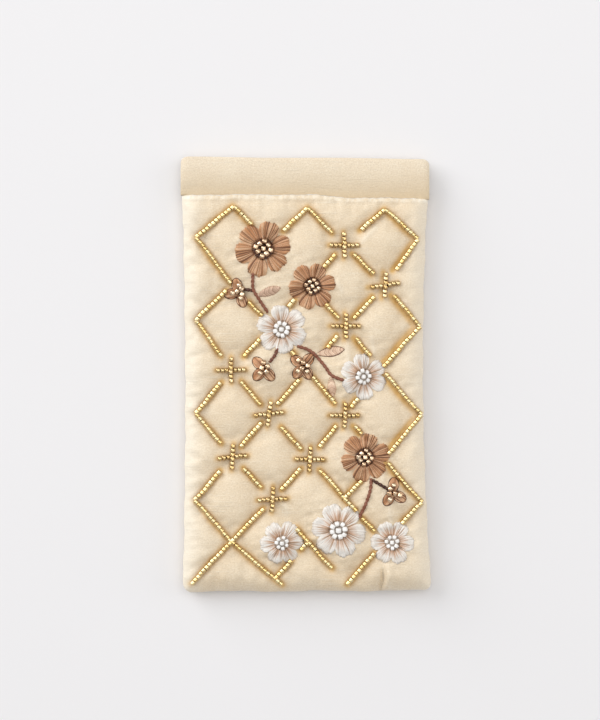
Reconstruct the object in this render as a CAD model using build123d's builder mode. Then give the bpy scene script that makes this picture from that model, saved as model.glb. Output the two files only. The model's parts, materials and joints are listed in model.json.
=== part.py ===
from build123d import *

import os
from math import asin, atan2, cos, degrees, radians, sin, sqrt

# A soft, padded glasses case with a squeeze-to-open spring mouth, lying flat on its back.
#
# Frame: +X across the case, +Y along it towards the mouth, +Z up. The origin is on the table, under the
# middle. The case is two padded panels, each of silk, wadding and lining, seamed together at the sides and
# the bottom. A folded band at the mouth holds a spring strip on each side. Squeezing the ends of the strips
# opens the mouth.
#
# Each padded panel folds along the two lines that run from its bottom corners up to the middle of the mouth
# band, so its layers are split there into a centre, a left and a right piece. All fold axes lie in the seam
# plane.

os.makedirs("parts", exist_ok=True)

# Overall size, in millimetres.
width = 99.0
length = 173.5
band_height = 15.5

# Heights above the table. The seam plane holds the side seams and every fold axis.
seam_z = 5.0
seam_gap = 0.4
front_top = 12.0
silk = 0.8
front_wadding = 3.2
back_wadding = 1.4
lining = 0.6

# Rounding of the padded outline.
front_edge_radius = 4.0
back_edge_radius = 2.0
corner_radius = 4.5

# Fold lines and the clearances around them.
fold_kerf = 0.35
layer_gap = 0.1
band_gap = 0.4
mouth_gap = 0.4
mouth_centre_gap = 1.2

# Mouth band and its spring strips.
band_thickness = 3.0
channel_height = 12.0
channel_depth = 1.1
strip_width = 11.0
strip_thickness = 0.25
strip_camber = 0.4
cap_length = 2.0

# Embroidery, which stands on the front panel.
bead_diameter = 1.7
cross_arm = 6.2
cross_clearance = 4.9
petal_height = 0.8
stem_width = 1.5
stem_height = 0.9
leaf_height = 0.6
rest_clearance = 0.02

half = width / 2
body_length = length - band_height
centre_y = length / 2
bottom_y = -centre_y
mouth_y = bottom_y + body_length

# How far the mouth opens: the fold of the side pieces, and the lift of the front panel that goes with it.
side_fold_deg = 25.0


def front_lift_deg(fold_deg):
    """The front panel's turn about the bottom seam when the side pieces have folded by fold_deg."""
    corner = atan2(half, body_length)
    fold = radians(fold_deg)
    seam_cosine = sin(corner) * cos(corner) * (1 - cos(fold))
    return degrees(2 * asin(sin(corner) * sin(fold) / sqrt(1 - seam_cosine**2)))


def save(part, name):
    """Labels a finished piece and writes it under its node name."""
    part.label = name
    export_step(part, f"parts/{name}.step")
    print(f"{name}: {len(part.solids())} solids, {part.volume:.0f} mm3")


# ---------------------------------------------------------------- padded layers


def cushion(outer_z, depth, inset, radius):
    """A slab from outer_z, rounded outside on all sides but the mouth. Negative depths run downwards."""
    with BuildPart() as block:
        with BuildSketch(Plane.XY.offset(outer_z)):
            with Locations((0, bottom_y + (body_length + inset) / 2)):
                Rectangle(width - 2 * inset, body_length - inset)
        extrude(amount=depth)
        bottom_corners = block.edges().filter_by(Axis.Z).sort_by(Axis.Y)[:2]
        fillet(bottom_corners, corner_radius - inset)
        outer_face = block.faces().filter_by(Axis.Z).sort_by(Axis.Z)[0 if depth > 0 else -1]
        mouth_edge = outer_face.edges().sort_by(Axis.Y)[-1]
        fillet(outer_face.edges() - [mouth_edge], radius)
    return block.part


def panel(outer_z, rim_z, radius):
    """A silk panel: a shallow tray whose turned edges run to the rim, open at the mouth."""
    depth = rim_z - outer_z
    inward = 1 if depth > 0 else -1
    hollow = cushion(outer_z + inward * silk, depth, silk, radius - silk)
    return cushion(outer_z, depth, 0, radius) - hollow


def filling(outer_z, depth, radius):
    """The wadding under a silk panel."""
    inward = 1 if depth > 0 else -1
    inset = silk + layer_gap
    return cushion(outer_z + inward * inset, depth, inset, radius - inset)


def sheet(low_z, radius):
    """A flat lining, inset from the turned silk edges."""
    return cushion(low_z + lining, -lining, silk + layer_gap, radius)


def fold_region(side):
    """The outline of one piece between the fold lines, held clear of them: 'centre', 'left' or 'right'."""
    lift = fold_kerf * body_length / half
    beyond = half + 1
    if side == "centre":
        return [(fold_kerf - half, bottom_y - 1), (half - fold_kerf, bottom_y - 1),
                (half - fold_kerf, bottom_y), (0, mouth_y - lift), (fold_kerf - half, bottom_y)]
    hand = -1 if side == "left" else 1
    return [(hand * half, bottom_y + lift), (hand * fold_kerf, mouth_y), (hand * fold_kerf, mouth_y + 1),
            (hand * beyond, mouth_y + 1), (hand * beyond, bottom_y + lift)]


def folded_pieces(layer, name):
    """Writes a layer as the three pieces that its fold lines make of it."""
    for side in ("centre", "left", "right"):
        with BuildPart() as piece:
            add(layer)
            with BuildSketch(Plane.XY.offset(-1)):
                with BuildLine():
                    Polyline(*fold_region(side), close=True)
                make_face()
            extrude(amount=front_top + 4, mode=Mode.INTERSECT)
        save(piece.part, f"{name}_{side}")


def padded_panels():
    """The silk, wadding and lining of the back and of the front."""
    hem = 0.2
    folded_pieces(panel(0, seam_z - seam_gap, back_edge_radius), "back_panel")
    folded_pieces(filling(0, back_wadding, back_edge_radius), "back_wadding")
    folded_pieces(sheet(silk + layer_gap + back_wadding, hem), "back_lining")
    folded_pieces(panel(front_top, seam_z + seam_gap, front_edge_radius), "front_panel")
    folded_pieces(filling(front_top, -front_wadding, front_edge_radius), "front_wadding")
    folded_pieces(sheet(front_top - silk - layer_gap - front_wadding - lining, hem), "front_lining")


# ---------------------------------------------------------------- mouth band and springs


def band(low_z, hand):
    """Half of a mouth band: silk folded round a channel for the spring strip. hand is -1 left, 1 right."""
    inner, outer = mouth_centre_gap / 2, half
    middle = hand * (inner + outer) / 2
    with BuildPart() as channel:
        with BuildSketch(Plane.XY.offset(low_z)):
            with Locations((middle, mouth_y + (band_height + band_gap) / 2)):
                Rectangle(outer - inner, band_height - band_gap)
        extrude(amount=band_thickness)
        fillet(channel.edges().filter_by(Axis.X), 1.2)
        with Locations((middle, mouth_y + band_height / 2, low_z + band_thickness / 2)):
            Box(outer - inner, channel_height, channel_depth, mode=Mode.SUBTRACT)
    return channel.part


def spring_strip(low_z, hand):
    """Half of a spring steel strip, cambered across its width as a steel tape is."""
    start = mouth_centre_gap
    strip_length = half - cap_length - start
    base = low_z + (band_thickness - strip_camber - strip_thickness) / 2
    strip_y = mouth_y + band_height / 2
    side = strip_width / 2
    with BuildPart() as strip:
        with BuildSketch(Plane.YZ.offset(hand * start)):
            with BuildLine():
                ThreePointArc((strip_y - side, base), (strip_y, base + strip_camber), (strip_y + side, base))
                Line((strip_y + side, base), (strip_y + side, base + strip_thickness))
                ThreePointArc((strip_y + side, base + strip_thickness),
                              (strip_y, base + strip_camber + strip_thickness),
                              (strip_y - side, base + strip_thickness))
                Line((strip_y - side, base + strip_thickness), (strip_y - side, base))
            make_face()
        extrude(amount=hand * strip_length)
    return strip.part


def strip_cap(low_z, hand):
    """The moulded cap that blunts the outer end of a spring strip."""
    cap_centre = half - cap_length / 2
    with BuildPart() as cap:
        with Locations((hand * cap_centre, mouth_y + band_height / 2, low_z + band_thickness / 2)):
            Box(cap_length - 0.4, strip_width, channel_depth - 0.2)
        fillet(cap.edges().filter_by(Axis.Z), 0.6)
    return cap.part


def mouth():
    """Both bands, each in two halves with a strip half and its cap."""
    levels = {"back": seam_z - mouth_gap - band_thickness, "front": seam_z + mouth_gap}
    for face, low_z in levels.items():
        for hand, side in ((-1, "left"), (1, "right")):
            save(band(low_z, hand), f"{face}_band_{side}")
            save(spring_strip(low_z, hand), f"{face}_spring_{side}")
            save(strip_cap(low_z, hand), f"{face}_spring_cap_{side}")


# ---------------------------------------------------------------- embroidery

# The stitched lattice: columns are evenly spaced, rows are set by hand.
column_pitch = 15.2
column_offset = 0.4
rows = [66.7, 51.9, 35.5, 19.1, 1.1, -15.7, -34.1, -50.9, -68.5, -84.0]
last_column = 6
bare_edges = {((2, 1), (1, 2)), ((2, 1), (3, 2)), ((5, 8), (6, 9))}
part_edges = {((2, 7), (3, 8)): (0.7, 1.0), ((3, 8), (4, 9)): (0.0, 0.65)}
cross_vertices = [(4, 1), (5, 2), (4, 3), (1, 4), (2, 5), (4, 5), (1, 6), (3, 6), (2, 7)]

# Flowers and buds: name, middle, radius, petals.
flowers = [
    ("brown_flower_top", (-16.8, 50.3), 11.4, 6),
    ("brown_flower_upper", (1.6, 35.5), 9.2, 6),
    ("brown_flower_lower", (23.2, -33.3), 9.9, 6),
    ("white_flower_upper", (-10.4, 18.7), 9.9, 6),
    ("white_flower_middle", (21.6, -1.3), 9.3, 6),
    ("white_flower_lower_centre", (11.6, -62.5), 10.9, 6),
    ("white_flower_lower_right", (33.2, -66.9), 8.7, 6),
    ("white_flower_lower_left", (-10.4, -67.7), 8.5, 6),
]
buds = [
    ("bud_left", (-28.8, 33.1), 5.5, 3),
    ("bud_lower_left", (-17.2, 2.7), 5.5, 3),
    ("bud_centre", (-2.0, 3.1), 6.0, 4),
    ("bud_right", (35.2, -46.9), 5.5, 3),
]
left_flowers = {"brown_flower_top", "bud_left"}

# Stems as points along them; leaves as middle, turn and length.
stems = {
    "stem_left": [(-21.6, 39.1), (-21.6, 33.1), (-18.0, 27.5), (-14.8, 24.3)],
    "stem_lower_left": [(-12.0, 8.7), (-14.8, 5.1)],
    "stem_middle": [(-3.2, 10.7), (1.6, 7.5), (5.6, 3.9), (9.2, -0.1), (14.0, -2.5)],
    "stem_lower": [(25.6, -42.9), (24.8, -49.3), (22.4, -54.9), (20.4, -57.5)],
}
leaves = {
    "leaf_left": ((-15.4, 33.4), 18, 9.6),
    "leaf_middle": ((9.4, 9.0), 15, 10.2),
    "leaf_lower": ((9.8, -6.3), 100, 10.4),
}
leaf_width = 3.4


def vertex(column, row):
    """The place of a lattice vertex."""
    return ((column - last_column / 2) * column_pitch + column_offset, rows[row])


def covered_spans(start, end, discs):
    """The shares of a run that the discs cover, as sorted (low, high) pairs."""
    dx, dy = end[0] - start[0], end[1] - start[1]
    squared = dx * dx + dy * dy
    spans = []
    for x, y, radius in discs:
        along = ((x - start[0]) * dx + (y - start[1]) * dy) / squared
        gap = radius**2 - (start[0] + along * dx - x) ** 2 - (start[1] + along * dy - y) ** 2
        if gap > 0:
            reach = sqrt(gap / squared)
            spans.append((along - reach, along + reach))
    return sorted(spans)


def open_runs(start, end, discs, low=0.0, high=1.0):
    """The stretches of a run that no disc covers, as pairs of points, shortest ones left out."""
    shortest = 1.5
    run = sqrt((end[0] - start[0]) ** 2 + (end[1] - start[1]) ** 2)
    found = []
    for span_low, span_high in covered_spans(start, end, discs) + [(high, high)]:
        if min(span_low, high) - low > shortest / run:
            found.append((low, min(span_low, high)))
        low = max(low, span_high)
    run_x, run_y = end[0] - start[0], end[1] - start[1]
    return [[(start[0] + t * run_x, start[1] + t * run_y) for t in pair] for pair in found]


def blocked_discs():
    """Where no bead run goes: under flowers and buds, round the crosses, and across the stems."""
    stem_clearance = 1.9
    discs = [(*middle, radius + 0.8) for _, middle, radius, _ in flowers + buds]
    discs += [(*vertex(*v), cross_clearance) for v in cross_vertices]
    for points in stems.values():
        with BuildLine() as path:
            Spline(*points)
        steps = 12
        spots = [path.line @ (i / steps) for i in range(steps + 1)]
        discs += [(spot.X, spot.Y, stem_clearance) for spot in spots]
    for (x, y), turn, leaf_length in leaves.values():
        for share in (-0.5, -0.25, 0.0, 0.25, 0.5):
            step = share * leaf_length
            leaf_x = x + step * cos(radians(turn))
            leaf_y = y + step * sin(radians(turn))
            discs.append((leaf_x, leaf_y, leaf_width / 2 + 1.2))
    return discs


def bead_runs():
    """Every stretch of beads on the lattice, as pairs of points."""
    discs = blocked_discs()
    runs = []
    for row in range(len(rows) - 1):
        for column in range(last_column + 1):
            if (column + row) % 2 == 0:
                continue
            for step in (-1, 1):
                edge = ((column, row), (column + step, row + 1))
                if not 0 <= column + step <= last_column or edge in bare_edges:
                    continue
                low, high = part_edges.get(edge, (0.0, 1.0))
                runs += open_runs(vertex(*edge[0]), vertex(*edge[1]), discs, low, high)
    return runs


def bead_strings(runs):
    """Round bars that stand for strings of beads, lying on the front panel."""
    z = front_top + bead_diameter / 2 + rest_clearance
    with BuildPart() as strings:
        for start, end in runs:
            direction = Vector(end[0] - start[0], end[1] - start[1], 0)
            with BuildSketch(Plane(origin=(start[0], start[1], z), z_dir=direction)):
                Circle(bead_diameter / 2)
            extrude(amount=direction.length)
    return strings.part


def fold_side(x, y):
    """Which piece of the front panel a point lies on."""
    reach = half * (1 - (y - bottom_y) / body_length)
    if abs(x) <= reach:
        return "centre"
    return "left" if x < 0 else "right"


def cross_runs(column, row):
    """The two bars of a bead cross."""
    x, y = vertex(column, row)
    return [[(x - cross_arm, y), (x + cross_arm, y)], [(x, y - cross_arm), (x, y + cross_arm)]]


def bead_lattice():
    """The lattice of bead strings, split along the fold lines, and the crosses grouped by their piece."""
    folded_pieces(bead_strings(bead_runs()), "bead_lines")
    for side in ("centre", "left", "right"):
        group = [v for v in cross_vertices if fold_side(*vertex(*v)) == side]
        save(bead_strings([run for v in group for run in cross_runs(*v)]), f"bead_crosses_{side}")


def blossom(middle, radius, petals):
    """A satin-stitched flower or bud: petals round a middle, with a round seat for its beads."""
    petal_length = radius * 0.62
    petal_width = min(radius * 2.0 / petals * 1.75, radius * 0.9)
    with BuildPart() as thread:
        with BuildSketch(Plane.XY.offset(front_top + rest_clearance)):
            with Locations(middle):
                Circle(radius * 0.45)
                with PolarLocations(radius - petal_length / 2, petals, start_angle=90 / petals):
                    Ellipse(petal_length / 2, petal_width / 2)
        extrude(amount=petal_height)
    return thread.part


def bead_group(members, name):
    """The beads in the middles of some flowers and buds: one bead ringed by others."""
    bead_z = front_top + petal_height + bead_diameter / 2 + 2 * rest_clearance
    with BuildPart() as beads:
        for _, middle, _, petals in members:
            ring, count = (2.15, 7) if petals > 4 else (2.0, 3)
            with Locations((*middle, bead_z)):
                Sphere(bead_diameter / 2)
            with Locations((*middle, bead_z)):
                with PolarLocations(ring, count):
                    Sphere(bead_diameter / 2)
    save(beads.part, name)


def flower_pieces():
    """Each flower and bud, and their middle beads grouped by colour and by the piece that they ride on."""
    for name, middle, radius, petals in flowers + buds:
        save(blossom(middle, radius, petals), name)
    gold = [f for f in flowers + buds if not f[0].startswith("white")]
    bead_group([f for f in gold if f[0] in left_flowers], "gold_flower_beads_left")
    bead_group([f for f in gold if f[0] not in left_flowers], "gold_flower_beads_centre")
    bead_group([f for f in flowers if f[0].startswith("white")], "white_flower_beads")


def stem_pieces():
    """The stem-stitched stems: a low ridge of thread along each path."""
    for name, points in stems.items():
        with BuildPart() as stem:
            with BuildSketch(Plane.XY.offset(front_top + rest_clearance)):
                with BuildLine() as path:
                    Spline(*points)
                trace(path.line, line_width=stem_width)
            extrude(amount=stem_height)
            for _, middle, radius, _ in flowers + buds:
                with Locations((*middle, front_top)):
                    Cylinder(radius + 0.2, 4, mode=Mode.SUBTRACT)
        save(stem.part, name)


def leaf_pieces():
    """The pale satin-stitched leaves, pointed at both ends."""
    for name, (middle, turn, leaf_length) in leaves.items():
        tip = leaf_length / 2
        plane = Plane(origin=(*middle, front_top + rest_clearance)).rotated((0, 0, turn))
        with BuildPart() as leaf:
            with BuildSketch(plane):
                with BuildLine():
                    ThreePointArc((-tip, 0), (0, leaf_width / 2), (tip, 0))
                    ThreePointArc((tip, 0), (0, -leaf_width / 2), (-tip, 0))
                make_face()
            extrude(amount=leaf_height)
        save(leaf.part, name)


padded_panels()
mouth()
bead_lattice()
flower_pieces()
stem_pieces()
leaf_pieces()
print(f"front panel lifts {front_lift_deg(side_fold_deg):.4f} deg for {side_fold_deg} deg of side fold")
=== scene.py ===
import json
import math
import random

import bmesh
import bpy
import numpy as np
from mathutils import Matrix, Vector
from mathutils.bvhtree import BVHTree


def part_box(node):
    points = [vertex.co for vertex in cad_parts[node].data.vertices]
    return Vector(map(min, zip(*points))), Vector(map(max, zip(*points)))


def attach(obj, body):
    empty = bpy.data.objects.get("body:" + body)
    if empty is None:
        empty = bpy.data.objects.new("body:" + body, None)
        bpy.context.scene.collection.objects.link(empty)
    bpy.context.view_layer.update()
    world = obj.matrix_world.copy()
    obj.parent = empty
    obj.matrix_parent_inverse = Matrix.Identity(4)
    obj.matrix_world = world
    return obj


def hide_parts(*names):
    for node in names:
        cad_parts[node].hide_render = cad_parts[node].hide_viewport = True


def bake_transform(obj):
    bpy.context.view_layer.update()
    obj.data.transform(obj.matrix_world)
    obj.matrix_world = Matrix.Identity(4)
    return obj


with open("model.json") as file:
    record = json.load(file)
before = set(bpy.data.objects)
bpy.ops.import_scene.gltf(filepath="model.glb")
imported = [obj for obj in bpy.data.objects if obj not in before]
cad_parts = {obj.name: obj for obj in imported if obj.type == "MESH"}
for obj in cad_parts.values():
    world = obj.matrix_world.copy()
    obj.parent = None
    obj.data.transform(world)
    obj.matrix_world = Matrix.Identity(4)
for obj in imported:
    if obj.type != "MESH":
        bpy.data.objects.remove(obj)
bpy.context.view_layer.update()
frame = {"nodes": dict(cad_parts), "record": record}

MM = 0.001
rng = random.Random(11)


def box_mm(*nodes):
    """The box round some CAD nodes, in millimetres."""
    boxes = [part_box(n) for n in nodes]
    low = [min(b[0][i] for b in boxes) / MM for i in range(3)]
    high = [max(b[1][i] for b in boxes) / MM for i in range(3)]
    return np.array(low), np.array(high)


def hand_of(side):
    """-1 for the left half and 1 for the right one, the way x grows from the middle to that side's seam."""
    return -1 if side == "left" else 1


def side_of(x):
    """The half that a place across the case lies on."""
    return "left" if x < 0 else "right"


def up_of(face):
    """1 for the front, which lies over the seam plane, and -1 for the back, which lies under it."""
    return 1 if face == "front" else -1


def halves(stem, side):
    """The CAD nodes that half of a layer stands for. The left half also takes the piece in the middle."""
    return [f"{stem}_{side}"] + ([f"{stem}_centre"] if side == "left" else [])


def bell(distance, width):
    """1 at no distance, falling away smoothly over about that width."""
    return np.exp(-(distance / width) ** 2)


def direction(degrees):
    """Unit vector across the case, turned that many degrees from the x axis."""
    return np.array((math.cos(math.radians(degrees)), math.sin(math.radians(degrees))))


def sideways(ahead):
    """The vector square to another one, to its left."""
    return np.array((-ahead[1], ahead[0]))


def add_object(name, data):
    """Puts an object with that data into the scene."""
    obj = bpy.data.objects.new(name, data)
    bpy.context.scene.collection.objects.link(obj)
    return obj


# ---------------------------------------------------------------- sizes from the frame, in millimetres

FACES = ("front", "back")
SIDES = ("left", "right")

panel_low, panel_high = box_mm("front_panel_left", "front_panel_right", "front_panel_centre")
HALF = panel_high[0]
BOTTOM = panel_low[1]
BAND_Y = panel_high[1]
FRONT_TOP = panel_high[2]
BODY = BAND_Y - BOTTOM
mouth_joint = next(j for j in frame["record"]["behaviour"]["joints"] if j["name"] == "mouth_open")
SEAM_Z = mouth_joint["pos_m"][2] / MM
LINING_Z = {"front": box_mm("front_lining_left")[0][2], "back": box_mm("back_lining_left")[1][2]}
BAND = {face: box_mm(f"{face}_band_left") for face in FACES}
STRIP = {face: box_mm(f"{face}_spring_left") for face in FACES}
TOP = BAND["front"][1][1]

# How far the padding rounds off along its edges, and the corners seen from above.
EDGE_RADIUS = {"front": 6.5, "back": 4.0, "lining": 5.0}
CORNER = 3.2
# How far apart the points of the pads and linings are, away from their edges.
MESH_PITCH = {"front": 0.7, "back": 1.3, "lining": 1.6}
# The height of a stitched line over the seam plane, and how much higher the silk swells between lines.
VALLEY = FRONT_TOP - SEAM_Z - 2.3
QUILT = 1.9
# The share of its height that the padding keeps at the band's seam, and how far its silk runs on under there.
SEAM_DEPTH = 0.55
UNDERLAP = 0.35
# The share of a band's thickness that its outer face comes down before the fold at the top.
CREST = 0.24
# Half of the gap between front and back along the side seams, and the thickness of a pad at its edge.
SEAM_GAP = 0.12
WALL = 0.75
# How far the lining stays inside the side seams, how thick it is, and how far the wadding stays clear of it.
LINING_INSET = 2.2
LINING_THICK = 0.28
WADDING_GAP = 0.7
# How far inside the outline the turned-in edges stand in the right seam, and the most they reach across it.
ALLOWANCE = {"front": (1.85, 1.7), "back": (1.5, 1.3)}
# Where each piece starts on the plane of the weave, so that no two pieces share the same threads.
WEAVE_START = {"front_pad": 0, "back_pad": 400, "front_lining": 800, "back_lining": 1200,
               "front_band": 1600, "back_band": 2000}
# The size of the beads, and how far apart they sit along the strings and the crosses.
BEAD_RADIUS = 1.02
STRING_PITCH = 1.66
CROSS_PITCH = 1.72

# ---------------------------------------------------------------- the stitched lattice

# Where the corners of the lattice are sewn, by column and row, in millimetres.
CORNERS = {
    (1, 0): (-29.2, 67.1), (3, 0): (0.2, 66.4), (5, 0): (31.2, 65.8),
    (0, 1): (-44.5, 54.6), (2, 1): (-14.8, 51.9), (4, 1): (15.0, 51.5), (6, 1): (44.4, 54.0),
    (1, 2): (-30.0, 35.5), (3, 2): (0.4, 35.5), (5, 2): (31.4, 35.5),
    (0, 3): (-44.5, 21.3), (2, 3): (-14.0, 19.1), (4, 3): (15.6, 19.1), (6, 3): (45.4, 19.0),
    (1, 4): (-30.4, 1.5), (3, 4): (0.3, 1.3), (5, 4): (29.8, 1.9),
    (0, 5): (-44.5, -16.0), (2, 5): (-15.2, -16.1), (4, 5): (15.2, -16.7), (6, 5): (46.0, -16.4),
    (1, 6): (-29.8, -33.3), (3, 6): (1.2, -34.3), (5, 6): (30.8, -34.1),
    (0, 7): (-45.0, -50.7), (2, 7): (-13.8, -50.3), (4, 7): (15.0, -49.8), (6, 7): (46.2, -51.6),
    (1, 8): (-30.3, -67.3), (3, 8): (0.4, -67.4), (5, 8): (30.8, -67.3),
    (0, 9): (-46.3, -84.4), (2, 9): (-12.8, -82.1), (4, 9): (16.0, -84.5), (6, 9): (46.3, -84.6),
}
# Crosses: corner, tilt of the level and of the upright arm in degrees, and the gaps to the strings up-left,
# up-right, down-left and down-right of it.
CROSSES = {
    (4, 1): (0, 1, 6.7, 9.0, 5.0, 5.0),
    (5, 2): (9, -4, 6.4, 7.3, 6.2, 5.3),
    (4, 3): (0, 0, 4.2, 4.2, 4.9, 6.2),
    (1, 4): (1, 0, 6.8, 7.4, 6.3, 5.9),
    (2, 5): (7, -8, 4.8, 4.9, 4.4, 7.0),
    (4, 5): (0, -3, 5.8, 3.9, 5.2, 5.8),
    (1, 6): (6, -4, 7.0, 5.1, 7.4, 6.3),
    (3, 6): (-2, -4, 5.2, 6.1, 5.0, 5.6),
    (2, 7): (3, -3, 6.4, 5.1, 5.0, 5.0),
}
CROSS_LEVEL, CROSS_UPRIGHT = 6.0, 5.2
# Edges of the lattice with no beads, and edges with beads on only a part, from share to share of the edge.
BARE = {((2, 1), (1, 2)), ((2, 1), (3, 2)), ((5, 8), (6, 9)), ((4, 7), (3, 8))}
PARTS = {((2, 7), (3, 8)): (0.68, 1.0), ((3, 8), (4, 9)): (0.0, 0.62), ((1, 8), (2, 9)): (0.0, 1.17)}

# Flowers: node, how far its middle is from the node's, size against the node's, turn of the first petal,
# colour family, and beads round the middle one.
FLOWERS = {
    "brown_flower_top": ((-0.7, -0.3), 1.01, 13, "brown", 8),
    "brown_flower_upper": ((0.6, -0.5), 1.06, 10, "brown", 8),
    "brown_flower_lower": ((0.0, -0.2), 1.03, 16, "brown", 8),
    "white_flower_upper": ((0.2, -0.9), 1.05, 38, "white", 8),
    "white_flower_middle": ((1.0, 0.1), 1.05, 35, "white", 8),
    "white_flower_lower_centre": ((1.0, 0.0), 1.03, -8, "white", 8),
    "white_flower_lower_right": ((0.9, -0.6), 1.05, -3, "white", 7),
    "white_flower_lower_left": ((0.4, 0.1), 1.04, 3, "white", 7),
}
# Buds: node, where its petals meet from the node's middle, where they point, and how far out and at what turn
# its beads are.
BUDS = {
    "bud_left": ((1.6, -0.1), (105, 187, 290),
                 ((3.0, 90), (1.9, 52), (1.0, 140), (2.6, 180), (1.3, 340), (2.2, 285))),
    "bud_lower_left": ((0.0, 0.0), (135, 228, 310),
                       ((2.3, 90), (1.7, 35), (0.9, 160), (1.6, 310), (2.3, 226))),
    "bud_centre": ((0.5, 0.0), (142, 232, 300, 52),
                   ((1.4, 85), (1.8, 0), (1.1, 250), (2.9, 220), (2.6, 305), (2.9, 130))),
    "bud_right": ((-0.8, 0.0), (85, 236, 327),
                  ((3.0, 86), (1.9, 124), (1.6, 190), (0.8, 340), (2.9, 340), (2.9, 242))),
}
# Stems: node, and the lines of points that it is stitched along.
STEMS = {
    "stem_left": [[(-21.6, 40.2), (-21.6, 34.2), (-19.6, 30.4), (-15.8, 24.7)],
                  [(-25.0, 33.8), (-21.7, 33.3)]],
    "stem_lower_left": [[(-11.9, 10.0), (-12.8, 7.4), (-14.8, 4.8)]],
    "stem_middle": [[(-3.6, 11.0), (0.4, 9.6), (3.4, 7.4), (7.2, 2.9), (9.8, -0.6), (14.4, -2.6)]],
    "stem_lower": [[(25.7, -42.2), (25.3, -46.6), (23.3, -52.6), (21.0, -57.4)],
                   [(26.6, -42.8), (29.0, -44.2), (32.4, -46.2)]],
}
# Leaves: node, one tip, the other tip, how full it is.
LEAVES = {
    "leaf_left": ((-20.0, 31.2), (-10.7, 34.4), 1.7),
    "leaf_middle": ((4.0, 7.8), (14.6, 9.8), 1.8),
    "leaf_lower": ((9.5, -1.2), (10.3, -9.0), 1.6),
}

# Small creases in the silk, from end to end.
CREASES = [
    ((21.9, 52.2), (28.5, 58.8)), ((17.2, 11.5), (17.0, 5.5)), ((27.2, 14.3), (28.2, 8.5)),
    ((30.8, -36.5), (31.6, -42.5)), ((33.6, -55.0), (33.8, -59.5)), ((12.5, 37.0), (14.5, 33.0)),
    ((20.6, -2.0), (20.9, -9.0)), ((-9.0, -52.5), (-8.2, -56.0)),
]


def node_disc(node):
    """Middle and radius of a flower or bud, from its CAD node."""
    low, high = box_mm(node)
    return (low[:2] + high[:2]) / 2, float(max(high[:2] - low[:2])) / 2


def lattice_edges():
    """Every edge of the lattice, from an upper corner to a lower one."""
    for upper in CORNERS:
        for step in (-1, 1):
            lower = (upper[0] + step, upper[1] + 1)
            if lower in CORNERS:
                yield upper, lower


def covered_discs():
    """Round patches with no beads of the lattice, as x, y and radius: flowers, buds, leaves and stems."""
    discs = []
    for name, (offset, *_) in (FLOWERS | BUDS).items():
        middle, size = node_disc(name)
        discs.append((*(middle + offset), size * 0.97))
    for a, b, _ in LEAVES.values():
        for t in (0.15, 0.4, 0.65, 0.9):
            radius = 0.5 + 1.3 * math.sin(math.pi * t)
            discs.append((a[0] + t * (b[0] - a[0]), a[1] + t * (b[1] - a[1]), radius))
    for line in [line for lines in STEMS.values() for line in lines]:
        discs += [(p[0], p[1], 1.1) for p in smooth_path(line, 14)]
    return discs


def shown_share(upper, lower, run):
    """From where to where beads show along an edge, as shares of it, clear of the crosses at its ends."""
    low, high = PARTS.get((upper, lower), (0.0, 1.0))
    right = lower[0] > upper[0]
    if upper in CROSSES:
        low = max(low, CROSSES[upper][5 if right else 4] / run)
    if lower in CROSSES:
        high = min(high, 1 - CROSSES[lower][2 if right else 3] / run)
    return low, high


def bead_runs():
    """The strings of beads that show: each edge less what flowers, crosses, stems and leaves take."""
    shortest = 1.6
    discs = covered_discs()
    runs = []
    for upper, lower in lattice_edges():
        if (upper, lower) in BARE:
            continue
        a, b = np.array(CORNERS[upper]), np.array(CORNERS[lower])
        run = np.linalg.norm(b - a)
        low, high = shown_share(upper, lower, run)
        spans = []
        for x, y, radius in discs:
            t = float((np.array((x, y)) - a) @ (b - a)) / run**2
            gap = radius**2 - float(np.sum((a + t * (b - a) - (x, y)) ** 2))
            if gap > 0:
                reach = math.sqrt(gap) / run
                spans.append((t - reach, t + reach))
        for start, end in sorted(spans) + [(high, high)]:
            if (min(start, high) - low) * run > shortest:
                runs.append((a + low * (b - a), a + min(start, high) * (b - a)))
            low = max(low, end)
    return runs


def smooth_path(points, steps):
    """Points along a smooth line through the given ones."""
    p = [np.array(q, float) for q in points]
    p = [2 * p[0] - p[1]] + p + [2 * p[-1] - p[-2]]
    out = []
    spans = len(p) - 3
    for k in range(steps + 1):
        s = min(k * spans / steps, spans - 1e-9)
        i, t = int(s), s - int(s)
        a, b, c, d = p[i:i + 4]
        square, cube = 2 * a - 5 * b + 4 * c - d, 3 * b - a - 3 * c + d
        out.append(0.5 * (2 * b + (c - a) * t + square * t**2 + cube * t**3))
    return np.array(out)


# ---------------------------------------------------------------- noise and height of the quilted front


def ripple(x, y, seed, scale, octaves=3):
    """Smooth repeatable noise, about -1 to 1, built from turned sine waves."""
    local = random.Random(seed)
    total = np.zeros_like(x, dtype=float)
    weight = 0.0
    for octave in range(octaves):
        amount = 0.6**octave
        for _ in range(5):
            turn = local.uniform(0, 2 * math.pi)
            phase = local.uniform(0, 2 * math.pi)
            f = 2 * math.pi / scale * 1.9**octave * local.uniform(0.7, 1.3)
            total = total + amount * np.sin(f * (x * math.cos(turn) + y * math.sin(turn)) + phase)
        weight += amount * 2.4
    return total / weight


# The grid that heights of the front are worked out on, its pitch in millimetres.
GRID = 0.5
GX = np.arange(-HALF, HALF + 1e-6, GRID)
GY = np.arange(BOTTOM, BAND_Y + 1e-6, GRID)
MX, MY = np.meshgrid(GX, GY)


def distance_to_segments(x, y, segments):
    """Distance from each point to the nearest of the segments."""
    best = np.full(x.shape, 1e9)
    for a, b in segments:
        d = np.array(b, float) - np.array(a, float)
        t = np.clip(((x - a[0]) * d[0] + (y - a[1]) * d[1]) / (d @ d), 0, 1)
        best = np.minimum(best, np.hypot(x - a[0] - t * d[0], y - a[1] - t * d[1]))
    return best


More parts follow.
